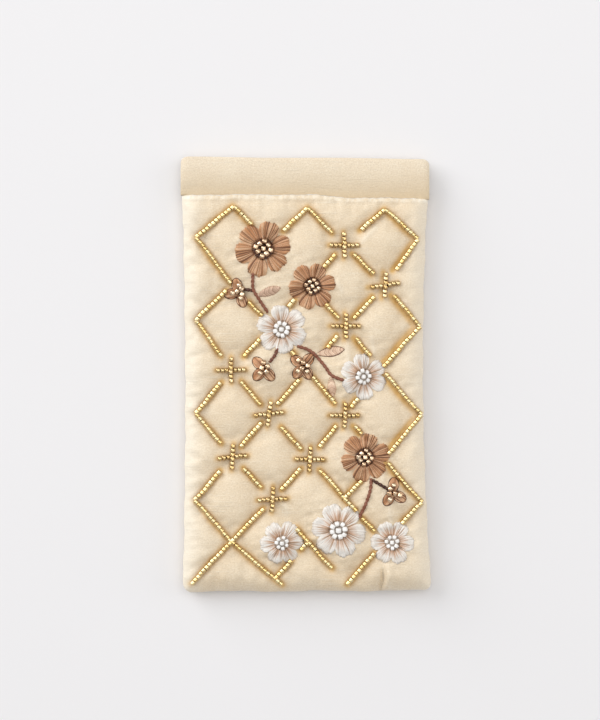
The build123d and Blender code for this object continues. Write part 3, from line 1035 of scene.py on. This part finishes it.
def smooth_across_middle(piece):
    """Turns the normals beside the middle cut upright along it, so that two halves shade as one sheet."""
    mesh = piece.data
    mesh.update()
    at_cut = np.abs(read(mesh.vertices, "co", 3)[:, 0]) < 1e-6
    faces = read(mesh.polygons, "normal", 3)
    vertex = read(mesh.loops, "vertex_index")
    owner = np.repeat(np.arange(len(faces)), read(mesh.polygons, "loop_total"))
    in_cut = np.abs(faces[:, 0]) > 0.9
    upright = np.zeros((len(mesh.vertices), 3))
    use = at_cut[vertex] & ~in_cut[owner]
    np.add.at(upright, vertex[use], faces[owner[use]])
    upright[:, 0] = 0.0
    upright /= np.maximum(np.linalg.norm(upright, axis=1)[:, None], 1e-9)
    loops = read(mesh.vertices, "normal", 3)[vertex]
    loops[use] = upright[vertex[use]]
    flat = at_cut[vertex] & in_cut[owner]
    loops[flat] = faces[owner[flat]]
    mesh.normals_split_custom_set(loops.tolist())


def seam_puckers(x, down, seed):
    """Short tucks that run down from the band's seam, close together, with a few longer ones."""
    near = np.clip(down, 0, None)
    small = 0.40 * ripple(x, near * 0.3, seed, 2.3, 2) * np.exp(-near / 1.6) * np.clip(near / 0.4, 0, 1)
    wide = 0.34 * ripple(x, near * 0.25, seed + 2, 6.0) * np.exp(-near / 4.5) * np.clip(near, 0, 1)
    return small + wide


def foot_puckers(x, up):
    """Tucks at the bottom edge: one short one at the left, and a longer fold beside a ridge at the right."""
    left = -2.4 * bell(x + 36.8, 1.2) * np.exp(-up / 4.0)
    fold_x = 29.0 + 1.2 * np.sin(up * 0.25)
    above = np.clip(up - 6, 0, None)
    right = 2.2 * bell(x - fold_x - 2.2, 1.6) * np.exp(-above / 4.0)
    right = right - 3.4 * bell(x - fold_x, 0.8) * np.exp(-above / 3.5)
    return left + right + 0.5 * ripple(x, up * 0.4, 23, 6.5) * np.exp(-up / 5.0)


def side_puckers(y, inward, side):
    """Shallow tucks along the side seams, each level with a corner of the lattice."""
    column, seed = (0, 31) if side == "left" else (6, 37)
    total = 0.18 * ripple(y, inward * 0.2, seed, 7.0) * np.exp(-inward / 6.0)
    for row in [spot[1] for corner, spot in CORNERS.items() if corner[0] == column]:
        total = total - 0.45 * bell(y - row, 1.2) * np.exp(-np.clip(inward - 1, 0, None) / 3.0)
    return total


def back_pad(side):
    """Half of the plain padded back, flat where it rests on the table."""
    hand = hand_of(side)
    x, y, inset, a, b = panel_grid(hand, "back")
    flat_x = hand * (HALF - a)
    rise = 0.30 * (0.5 + 0.5 * ripple(flat_x, y, 41, 34)) * np.clip((inset - 3) / 10, 0, 1)
    lift = np.clip(1 - (BAND_Y - y) / 6.0, 0, 1) ** 2 * (BAND["back"][0][2] - 0.2)
    edge_z = SEAM_Z - SEAM_GAP
    z = edge_z - (edge_z - np.maximum(rise, lift)) * edge_share(inset, EDGE_RADIUS["back"])
    z = np.maximum(z - 0.35 * np.abs(side_puckers(y, a, side)) * (z > 1.2), 0.0)
    x = x - hand * 0.5 * bell(inset, 0.25)
    piece = pad_half("back", side, np.stack([x, y, z], -1), inset, a, b)
    return fold(piece, "back", side)


def lining_sheet(face, side):
    """Half of a lining: a thin sheet on the wadding inside the pocket, which turns out at its edges."""
    hand, up, radius = hand_of(side), up_of(face), EDGE_RADIUS["lining"]
    x, y, inset, a, b = panel_grid(hand, "lining")
    x = x * (HALF - LINING_INSET) / HALF
    y = np.maximum(y, BOTTOM + 1.5 + 0.2 * b)
    flat_x = hand * (HALF - a)
    seed = 53 if face == "front" else 59
    wrinkle = 0.12 * ripple(flat_x, y, seed, 17) * np.clip(inset / radius, 0, 1)
    edge_z = SEAM_Z + up * 0.2
    z = edge_z + (LINING_Z[face] - edge_z) * bowl(inset, radius) + wrinkle
    near_mouth = np.clip(1 - (BAND_Y - y) / 8.0, 0, 1)
    rim = SEAM_Z + up * 0.55
    z = z + (rim - z) * near_mouth**1.5
    uv = np.stack([flat_x, y + WEAVE_START[f"{face}_lining"]], -1)
    pile = Pile()
    first = pile.grid(np.stack([x, y, z], -1), flip=hand * up < 0, uv=uv)
    second = pile.grid(np.stack([x, y, z + up * LINING_THICK], -1), flip=hand * up > 0, uv=uv)
    close(pile, first, second, x.shape, -hand * up)
    piece = build(f"{face}_lining_sheet_{side}", pile, [LINING], uv=True, recalc=True)
    smooth_across_middle(piece)
    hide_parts(*halves(f"{face}_lining", side))
    return fold(piece, face, side)


# ---------------------------------------------------------------- mouth band


def band_section(foot, top, outer, valley, inner):
    """A band's outline across its width, as y and z: up from the seam, over the fold and back inside."""
    shoulder = outer + (inner - outer) * CREST
    radius = abs(shoulder - inner) / 2
    middle = (shoulder + inner) / 2
    turns = np.linspace(math.pi / 2, -math.pi / 2, 11)
    rise = np.linspace(0, 1, 30)[1:-1]
    back = np.linspace(top - radius, foot, 14)[1:]
    y = [[foot] * 3, foot + (top - radius - foot) * rise, top - radius + radius * np.cos(turns), back]
    face = outer - (outer - valley) * (1 - rise) ** 2 - (outer - shoulder) * rise**3
    fold_over = middle + (shoulder - middle) * np.sin(turns)
    z = [np.linspace(inner, valley, 4)[1:], face, fold_over, [inner] * len(back)]
    return np.concatenate(y), np.concatenate(z)


def band_ring(face, x, end):
    """The points round a band at one place along it. The end runs from 0 to 1 over the band's rounded end."""
    low, high = BAND[face]
    front, up = face == "front", up_of(face)
    # The silk stands a little proud of the channel's outer face, more so on the front.
    outer_z, inner_z = (high[2] + 0.8, low[2]) if front else (low[2] - 0.2, high[2])
    valley = SEAM_Z + VALLEY * SEAM_DEPTH + 0.05 if front else SEAM_Z - 2.6
    slant = -0.0085 * x if front else -0.004 * x
    middle_z = (outer_z + inner_z) / 2
    shrink = 1 - math.sqrt(max(1 - end**2, 0.0))
    swell = 1 - 0.60 * shrink
    top = TOP + slant + 0.1 + 0.12 * math.sin(x * 0.11) - 2.2 * shrink
    foot = BAND_Y + float(seam_line(x)) + 0.1 * shrink
    under = inner_z + (SEAM_Z + up * 0.03 - inner_z) * shrink
    over = middle_z + (outer_z - middle_z) * swell + up * 0.14 * math.sin(x * 0.07 + 2)
    y, z = band_section(foot, top, over, middle_z + (valley - middle_z) * swell, under)
    outward = np.clip((z - middle_z) * up / abs(outer_z - middle_z), 0, 1)
    along = np.full_like(y, x)
    tucks = seam_puckers(along, y - foot, 17 if front else 19)
    fine = 0.06 * ripple(along * 0.6, y * 1.4, 71, 9.0)
    return np.stack([along, y, z + up * outward * (0.9 * tucks + fine)], -1)


def band_half(face, side):
    """Half of a mouth band: silk folded flat round its spring strip, its raw edge sewn into the panel."""
    hand = hand_of(side)
    reach = float(outline(np.array(BAND_Y), hand)) + 0.1
    bend = 3.2
    straight = reach - bend
    rounded = straight + bend * np.sin(np.linspace(0.1, math.pi / 2, 14))
    steps = np.concatenate([np.linspace(0, straight, 120), rounded])
    points = np.array([band_ring(face, hand * s, max((s - straight) / bend, 0.0)) for s in steps])
    girth = lengths_along(points[0])
    down = girth[None, :] + WEAVE_START[f"{face}_band"]
    uv = np.stack(np.broadcast_arrays(points[:, :, 0], down), -1)
    hub = points.mean(axis=1, keepdims=True)
    inside = hub + (points - hub) * np.array((1.0, 0.93, 0.72))
    inside[:, :, 0] -= hand * 0.5 * np.linspace(0, 1, len(steps))[:, None]
    # Painted shade on the band, darkest at its seam and fading up it.
    painted_shade = np.clip(1 - (points[:, :, 1] - BAND_Y) / 14.0, 0, 1) ** 1.3
    pile = Pile()
    outer = pile.grid(points, wrap=True, uv=uv, tone=painted_shade)
    inner = pile.grid(inside, wrap=True, flip=True, uv=uv)
    count = points.shape[1]
    last = (len(steps) - 1) * count
    pile.join([[outer + last + c for c in range(count)], [inner + last + c for c in range(count)][::-1]])
    pile.join([(outer + n, outer + c, inner + c, inner + n) for c, n in ring_steps(count)])
    piece = build(f"{face}_band_{side}_silk", pile, [BAND_SILK], uv=True, recalc=True)
    smooth_across_middle(piece)
    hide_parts(f"{face}_band_{side}")
    return fold(piece, face, side)


def strip_half(face, side):
    """Half of a spring strip, bowed across its width like a steel tape, inside the band."""
    low, high = STRIP[face]
    middle_y, middle_z = (low[1] + high[1]) / 2, (low[2] + high[2]) / 2
    half_wide, half_thick = (high[1] - low[1]) / 2, 0.125
    across = np.linspace(-1, 1, 13)
    camber = middle_z + 0.2 * (1 - 2 * across**2)
    width = np.concatenate([across, across[::-1]]) * half_wide
    z = np.concatenate([camber + half_thick, camber[::-1] - half_thick])
    steps = np.linspace(-high[0], -low[0], 44)
    points = np.array([[(hand_of(side) * s, middle_y + w, h) for w, h in zip(width, z)] for s in steps])
    for end in (0, -1):
        points[end, :, 1] = middle_y + width * 0.88
    pile = Pile()
    pile.grid(points, wrap=True, caps=True, flip=side == "left")
    piece = build(f"{face}_strip_{side}", pile, [STEEL], recalc=True)
    return place(piece, side, "spring_steel", f"{face}_spring_{side}", face=face)


def dress_caps():
    """The caps keep their CAD shape and take their moulded finish."""
    for node in [frame["nodes"][f"{face}_spring_cap_{side}"] for face in FACES for side in SIDES]:
        if not node.material_slots:
            node.data.materials.append(CAP)
        for material_slot in node.material_slots:
            material_slot.material = CAP


# ---------------------------------------------------------------- beads


def bead(pile, centre, axis, length, radius, sides=12, hole=0.24, rounding=0.36):
    """A seed bead: a short cylinder with rounded rims and a hole along its axis."""
    axis = np.asarray(axis, float) / np.linalg.norm(axis)
    side = np.cross(axis, (0.0, 0.0, 1.0))
    side /= np.linalg.norm(side)
    other = np.cross(axis, side)
    half = length / 2
    rim = min(rounding * radius + 0.06, half * 0.8)
    profile = [(-half * 0.55, hole * radius), (-half * 0.97, hole * radius * 1.15), (-half, 0.62 * radius)]
    for k in range(1, 4):
        t = k * math.pi / 8
        profile.append((-half + rim * (1 - math.cos(t)), radius - rim * (1 - math.sin(t)) * 0.9))
    profile.append((-half + rim, radius))
    profile += [(-s, r) for s, r in profile[::-1]]
    turn = np.linspace(0, 2 * math.pi, sides, endpoint=False) + rng.uniform(0, 0.5)
    outward = [side * math.cos(t) + other * math.sin(t) for t in turn]
    points = np.array([[np.asarray(centre) + axis * s + r * out for out in outward] for s, r in profile])
    # The tone paints shade down the bead's sides and at its ends, where it meets the next bead; its top keeps
    # the full colour.
    upward = np.clip([out[2] for out in outward], 0, 1)
    along = np.array([0, 0, 0.25, 0.6, 0.85, 1.0, 1.0])
    tone = np.concatenate([along, along[::-1]])[:, None] * upward[None, :]
    base = pile.grid(points, wrap=True, flip=True, tone=tone)
    last = base + (len(profile) - 1) * sides
    pile.join([(base + c, base + n, last + n, last + c) for c, n in ring_steps(sides)])


def string_beads(piles, a, b, bow):
    """Beads threaded from a to b along the silk, shared out between the left and the right half."""
    run = np.linalg.norm(b - a)
    count = max(int(round(run / STRING_PITCH)), 1)
    ahead = (b - a) / run
    across = sideways(ahead)
    for k in range(count):
        t = (k + 0.5) / count
        wander = 0.10 * math.sin(t * 7 + a[0]) + rng.uniform(-0.10, 0.10) + bow * math.sin(math.pi * t)
        xy = a + t * run * ahead + across * wander
        size = BEAD_RADIUS * rng.uniform(0.93, 1.06)
        z = front_z(*xy) + size * 0.92
        flat_axis = ahead - across * rng.uniform(-0.10, 0.10)
        axis = (*flat_axis, rng.uniform(-0.10, 0.10))
        length = run / count * rng.uniform(0.90, 0.99)
        bead(piles[side_of(xy[0])], (*xy, z), axis, length, size, hole=0.28, rounding=0.22)


def place_beads(piles, name, nodes, material):
    """Makes one piece of the beads on each half of the case."""
    for side, pile in piles.items():
        place(build(f"{name}_{side}", pile, [material]), side, "gold_beads", *halves(nodes, side))


def bead_lattice():
    """The strings of gold beads that follow the quilting."""
    piles = {side: Pile() for side in SIDES}
    for a, b in RUNS:
        string_beads(piles, a, b, rng.uniform(-0.25, 0.25))
    place_beads(piles, "bead_strings", "bead_lines", GOLD)


def cross_arms(corner):
    """The two arms of a cross: which way each points, half its length, and 1 for the one that lies on top."""
    level, upright, *_ = CROSSES[corner]
    return (direction(level), CROSS_LEVEL, 0.0), (direction(upright + 90), CROSS_UPRIGHT, 1.0)


def bead_crosses():
    """The crosses of rounder beads, the upright lying over the level string."""
    piles = {side: Pile() for side in SIDES}
    for corner in CROSSES:
        middle = np.array(CORNERS[corner])
        for ahead, reach, lifted in cross_arms(corner):
            count = int(round(2 * reach / CROSS_PITCH))
            for k in range(count):
                s = (2 * (k + 0.5) / count - 1) * reach
                xy = middle + ahead * s + sideways(ahead) * rng.uniform(-0.12, 0.12)
                size = BEAD_RADIUS * rng.uniform(0.93, 1.05)
                over = lifted * 1.15 * math.exp(-(s / 1.5) ** 2)
                z = front_z(*xy) + size * 0.95 + over
                axis = (*ahead, rng.uniform(-0.12, 0.12))
                bead(piles[side_of(middle[0])], (*xy, z), axis, 2 * reach / count * 0.90, size)
    place_beads(piles, "bead_cross_set", "bead_crosses", CROSS_GOLD)


# ---------------------------------------------------------------- embroidery


def petal_edge(share):
    """How far out a petal goes, for a place across it from -1 to 1: broad, rounded and a little scalloped."""
    return 1 - 0.04 * share**2 - 0.27 * abs(share) ** 6 - 0.012 * (1 + math.cos(3 * math.pi * share))


def around(centre, distance, angle):
    """The place that far from a centre, at an angle in radians."""
    return centre[0] + distance * math.cos(angle), centre[1] + distance * math.sin(angle)


# How high a petal swells over the silk, and how many points each of its threads has.
PETAL_LIFT = 0.78
THREAD_POINTS = 9


def petal_thread(pile, centre, angle, spread, inner, reach, share, strands, local, family):
    """One thread of a petal, from the flower's middle outwards, its two ends drawn down into the silk."""
    first, last = family["tones"]
    start = inner * (1 + local.uniform(0.0, 0.16))
    # The outermost threads are toned darker, painted shade along the petal's sides.
    shift = local.uniform(-0.35, 0.35) - 0.45 * (abs(share) > 0.92)
    raised = local.uniform(-0.10, 0.10)
    slope = 0.25 + 0.75 * math.sqrt(max(1 - (abs(share) * 0.97) ** 3, 0.0))
    path, widths, tones = [], [], []
    for i in range(THREAD_POINTS):
        t = i / (THREAD_POINTS - 1)
        out = start + (reach - start) * t
        bend = math.radians(3.0) * math.sin(t * 3.1) * share
        x, y = around(centre, out, angle + bend)
        hill = math.sin(math.pi * min(0.12 + 0.84 * t, 1.0)) ** 0.5
        sunk = 0.34 if i in (0, THREAD_POINTS - 1) else 0.0
        path.append((x, y, front_z(x, y) + 0.12 + PETAL_LIFT * hill * slope + raised - sunk))
        widths.append(max(2 * math.radians(spread) * out / strands * family["plump"], 0.20))
        tones.append(first + (last - first) * t + shift)
    # The outer end of a brown thread is painted dark, as shade where it dives into the silk.
    tones[-1] -= 0.8 if first > 0 else 0.0
    tube(pile, path, widths, 0.35, tone=np.array(tones))


def petal(pile, centre, turn, spread, inner, radius, strands, local, family):
    """A satin-stitched petal: separate threads laid from the middle outwards over a dark patch, which shows
    between them as painted shade.
    """
    for k in range(strands):
        share = 2 * (k + 0.5) / strands - 1
        angle = math.radians(turn + share * spread + local.uniform(-0.35, 0.35))
        reach = radius * (petal_edge(share) + local.uniform(-0.025, 0.02))
        petal_thread(pile, centre, angle, spread, inner, reach, share, strands, local, family)
    rows, cols = 5, 15
    pad = np.empty((rows, cols, 3))
    for i in range(rows):
        for j in range(cols):
            share = 2 * j / (cols - 1) - 1
            out = inner * 0.7 + (radius * petal_edge(share) * 0.94 - inner * 0.7) * i / (rows - 1)
            x, y = around(centre, out, math.radians(turn + share * spread))
            rim = 0.0 if i in (0, rows - 1) or j in (0, cols - 1) else 1.0
            pad[i, j] = (x, y, front_z(x, y) + 0.03 + rim * PETAL_LIFT * 0.5)
    floor = pad.copy()
    floor[:, :, 2] -= 0.35
    shade_patch(pile, pad, floor, family["tones"][0], True)


def shade_patch(pile, pad, floor, tone, flip):
    """A closed dark patch under a petal's threads, painted shade where it shows between them, between an
    upper and a lower grid.
    """
    top = pile.grid(pad, tone=tone, kind=1, flip=flip)
    under = pile.grid(floor, tone=tone, kind=1, flip=not flip)
    close(pile, top, under, pad.shape[:2], 1 if flip else -1)


def dome(pile, centre, radius, height):
    """A low knotted mound of thread."""
    rows, cols = 6, 20
    points = np.empty((rows, cols, 3))
    for i in range(rows):
        t = i / (rows - 1)
        for j in range(cols):
            angle = 2 * math.pi * j / cols
            out = radius * math.cos(t * math.pi / 2) + 0.02 + 0.07 * math.sin(5 * angle + 3 * t)
            x, y = around(centre, out, angle)
            sunk = 0.3 if i == 0 else 0.0
            points[i, j] = (x, y, front_z(x, y) + height * math.sin(t * math.pi / 2) - sunk)
    pile.grid(points, wrap=True, caps=True)


def seat_beads(pile, centre, spots, radius, lift):
    """Round beads sewn at given distances and turns from a middle."""
    for distance, turn in spots:
        a = math.radians(turn) + rng.uniform(-0.06, 0.06)
        x, y = around(centre, distance, a)
        size = radius * rng.uniform(0.94, 1.06) * (1.1 if distance == 0 else 1.0)
        z = front_z(x, y) + lift + size * 0.75
        axis = (math.cos(a + 1.57) + 1e-3, math.sin(a + 1.57), rng.uniform(-0.25, 0.25))
        bead(pile, (x, y, z), axis, size * 1.62, size, sides=14, hole=0.26)


# Families of flowers: where the petals start and the core's radius, as shares of the flower's radius, the
# tones at a thread's two ends, how full a thread is, how uneven the ring of beads is, and the materials.
FAMILIES = {
    "brown": {"start": 0.34, "core": 0.40, "tones": (0.10, 0.9), "plump": 0.98,
              "uneven": (0.90, 1.14), "threads": [BROWN, BROWN_SHADE_AND_OUTLINE], "knots": CORE_DARK},
    "white": {"start": 0.29, "core": 0.33, "tones": (-0.35, 1.75), "plump": 1.16,
              "uneven": (0.99, 1.07), "threads": [WHITE, WHITE_PETAL_SHADE], "knots": CORE_PALE},
}
PETALS = 6


def flower(name, beads):
    """One flower: its petals, the knotted middle, and its beads, which join those of its colour and half."""
    offset, grow, turn, colour, ring = FLOWERS[name]
    family = FAMILIES[colour]
    middle, size = node_disc(name)
    centre, radius = middle + offset, size * grow
    side = side_of(centre[0])
    strands = 22 if radius > 9.5 else 19
    local = random.Random(name)
    pile = Pile()
    for k in range(PETALS):
        reach = radius * local.uniform(0.965, 1.03)
        spread = 28.0 + local.uniform(-1.0, 1.0)
        points_to = turn + 360 / PETALS * k + local.uniform(-3, 3)
        petal(pile, centre, points_to, spread, radius * family["start"], reach, strands, local, family)
    place(build(name + "_stitched", pile, family["threads"]), side, f"{colour}_thread", name)
    core = Pile()
    dome(core, centre, radius * family["core"], 0.85)
    place(build(name + "_core", core, [family["knots"]]), side, "stem_thread")
    out = radius * 0.238
    spots = [(0.0, 0.0)] + [(out * family["uneven"][k % 2], turn + 20 + 360 * k / ring) for k in range(ring)]
    seat_beads(beads[side], centre, spots, 0.42 * out, 0.85)


def bud(name, beads):
    """One bud: its petals, and its beads, which join those of its half."""
    offset, petals, spots = BUDS[name]
    centre = node_disc(name)[0] + offset
    side = side_of(centre[0])
    local = random.Random(name)
    pile = Pile()
    for turn in petals:
        bud_petal(pile, centre, turn, local)
    place(build(name + "_stitched", pile, [BROWN, BROWN_SHADE_AND_OUTLINE]), side, "brown_thread", name)
    seat_beads(beads[side], centre, spots, 1.12, 1.0)


def flowers():
    """The flowers and buds, with their thread middles and their beads."""
    beads = {colour: {side: Pile() for side in SIDES} for colour in FAMILIES}
    for name, (*_, colour, _) in FLOWERS.items():
        flower(name, beads[colour])
    for name in BUDS:
        bud(name, beads["brown"])
    bronze_nodes = {"left": "gold_flower_beads_left", "right": "gold_flower_beads_centre"}
    for side, pile in beads["brown"].items():
        place(build(f"gold_middles_{side}", pile, [BRONZE]), side, "bronze_beads", bronze_nodes[side])
    for side, pile in beads["white"].items():
        place(build(f"pearl_middles_{side}", pile, [PEARL]), side, "pearl_beads", "white_flower_beads")


def bud_petal(pile, centre, turn, local):
    """A small oval petal, its threads running along it, with a dark outline."""
    ahead = direction(turn)
    across = sideways(ahead)
    length, width, strands = 5.9, 2.05, 9
    middle = np.asarray(centre) + ahead * length * 0.52

    def spot(s, u, lift):
        """A point on the petal, s along it and u across it from -1 to 1, lifted off the silk."""
        xy = middle + ahead * s * length / 2 + across * u * width
        return (*xy, front_z(*xy) + lift)

    def oval(lift):
        """A grid over the petal, lifted by that much at each place along and across it."""
        return np.array([[spot(t * 0.93, u * math.sqrt(max(1 - t * t, 0.02)) * 0.9, lift(t, u))
                          for u in np.linspace(-1, 1, 9)] for t in np.linspace(-1, 1, 7)])

    for k in range(strands):
        share = 2 * (k + 0.5) / strands - 1
        reach = math.sqrt(1 - share**2) * 0.97
        shift = local.uniform(-0.30, 0.30) - 0.25
        path = []
        for t in np.linspace(-1, 1, 7):
            rise = 0.72 * math.cos(t * 1.45) ** 0.6 * math.sqrt(1 - 0.75 * share**2)
            path.append(spot(reach * t, share * (0.8 + 0.2 * math.cos(t * 1.5)), 0.12 + rise))
        tube(pile, path, 2 * width / strands * 0.98, 0.44, tone=np.linspace(0.1, 0.9, 7) + shift)
    ring = [spot(math.cos(a), math.sin(a), 0.16) for a in np.linspace(0.0, 2 * math.pi, 25)[:-1]]
    tube(pile, ring + ring[:2], 0.36, 0.40, kind=1)
    # A dark patch under the threads shows between them as painted shade.
    shade_patch(pile, oval(lambda t, u: 0.42 * (1 - u * u) * (1 - t**4)), oval(lambda t, u: -0.35), 0.0, False)


def stems():
    """The stem-stitched stems: two plies of thread twisted along each path."""
    for name, lines in STEMS.items():
        pile = Pile()
        for line in lines:
            length = sum(math.dist(a, b) for a, b in zip(line, line[1:]))
            flat = smooth_path(line, max(int(length / 0.22), 8))
            path = np.array([(*p, front_z(*p) + 0.38) for p in flat])
            path[[0, -1], 2] -= 0.5
            tone = 0.5 + 0.5 * np.sin(np.arange(len(path)) * 1.25)
            tube(pile, path, 1.22, 1.0, sides=14, tone=tone, twist=1.7, lobes=2, lobe_depth=0.20)
        first_x = lines[0][0][0]
        place(build(name + "_thread", pile, [STEM]), side_of(first_x), "stem_thread", name)


def leaves():
    """The satin-stitched leaves, their threads laid slantwise, and a fine dark outline on one."""
    for name, (tip, end, full) in LEAVES.items():
        a, b = np.array(tip), np.array(end)
        run = np.linalg.norm(b - a)
        ahead = (b - a) / run
        across = sideways(ahead)
        pile, local = Pile(), random.Random(name)
        strands = int(run / 0.34)
        for k in range(strands):
            t = (k + 0.5) / strands
            w = full * math.sin(math.pi * t) ** 0.8 + 0.12
            path = []
            for u in np.linspace(-1, 1, 7):
                xy = a + ahead * (t * run + 0.75 * abs(u) * w - 0.3 * w) + across * u * w
                sunk = 0.12 if abs(u) == 1 else 0.0
                path.append((*xy, front_z(*xy) + 0.04 + 0.45 * math.sqrt(max(1 - u * u, 0)) - sunk))
            tube(pile, path, 0.50, 0.28, tone=local.uniform(0.2, 0.9))
        if name == "leaf_middle":
            for hand in (-1, 1):
                rim = []
                for t in np.linspace(-0.03, 1.03, 26):
                    w = full * math.sin(math.pi * min(max(t, 0), 1)) ** 0.8 + 0.16
                    xy = a + ahead * (t * run + 0.4 * w * (0 < t < 1)) + across * hand * w
                    rim.append((*xy, front_z(*xy) + 0.12))
                tube(pile, rim, 0.30, 0.30, tone=0.3, kind=1)
        materials = [TAN if name == "leaf_left" else PINK, STEM]
        place(build(name + "_stitched", pile, materials), side_of(a[0]), "leaf_thread", name)


# ---------------------------------------------------------------- the case

RUNS = bead_runs()
CROSS_BARS = []
for cross in CROSSES:
    for ahead, reach, _ in cross_arms(cross):
        CROSS_BARS.append((CORNERS[cross] - ahead * reach, CORNERS[cross] + ahead * reach))
# How far each place of the front is from the nearest bead. The crosses' painted reflection is a little
# weaker.
BEAD_NEAR = np.minimum(np.maximum(distance_to_segments(MX, MY, RUNS) - 0.6, 0),
                       np.maximum(distance_to_segments(MX, MY, CROSS_BARS) - 0.6, 0) + 0.35)

for half_side in SIDES:
    front_pad(half_side)
    back_pad(half_side)
    for layer in FACES:
        strip_half(layer, half_side)
        band_half(layer, half_side)
        lining_sheet(layer, half_side)
dress_caps()
bead_lattice()
bead_crosses()
flowers()
stems()
leaves()

# ---------------------------------------------------------------- table, light and camera


def table_material():
    """A plain pale table top."""
    n = Nodes("table", rough=0.85, Specular_IOR_Level=0.15)
    cloud = n.noise(n.place(), 3.0)
    n.colour(n.mix(n.times(cloud, 0.3), (0.86, 0.86, 0.875), (0.84, 0.84, 0.85)))
    return n.material


def table(reach, height):
    """A flat square sheet facing up."""
    mesh = bpy.data.meshes.new("table")
    corners = [(-reach, -reach), (reach, -reach), (reach, reach), (-reach, reach)]
    mesh.from_pydata([(x, y, height) for x, y in corners], [], [(0, 1, 2, 3)])
    mesh.materials.append(table_material())
    return add_object("table", mesh)


def lamp(name, location, size, power, tint):
    """A soft square light aimed at the middle of the case."""
    data = bpy.data.lights.new(name, "AREA")
    data.shape, data.size, data.energy, data.color = "SQUARE", size, power, tint
    light = add_object(name, data)
    light.location = location
    target = Vector((0, 0, (SEAM_Z + FRONT_TOP) / 2 * MM))
    light.rotation_euler = (target - light.location).to_track_quat("-Z", "Y").to_euler()


# Places and sizes of the table, lights and camera are in metres.
table(3, -0.0003)

lamp("key", (-1.95, 1.45, 1.3), 2.4, 51.5, (0.99, 0.99, 1.0))
lamp("fill", (0.2, 0.2, 1.7), 1.5, 10.5, (1.0, 0.99, 0.985))
lamp("side", (1.9, 0.3, 0.95), 1.5, 8.2, (1.0, 0.98, 0.955))

world = bpy.data.worlds.new("studio")
bpy.context.scene.world = world
world.use_nodes = True
background = world.node_tree.nodes["Background"].inputs
background["Color"].default_value = (1.0, 0.98, 0.965, 1.0)
background["Strength"].default_value = 0.415

bpy.context.scene.view_settings.view_transform = "Standard"

# The camera looks straight down from a metre above the silk, through a long lens.
camera_data = bpy.data.cameras.new("camera")
camera_data.lens, camera_data.sensor_width, camera_data.sensor_fit = 125, 36, "AUTO"
camera_data.clip_start, camera_data.clip_end = 0.05, 20
camera = add_object("camera", camera_data)
camera.location = (-0.0028, 0.0055, 1.0 + FRONT_TOP * MM)
bpy.context.scene.camera = camera
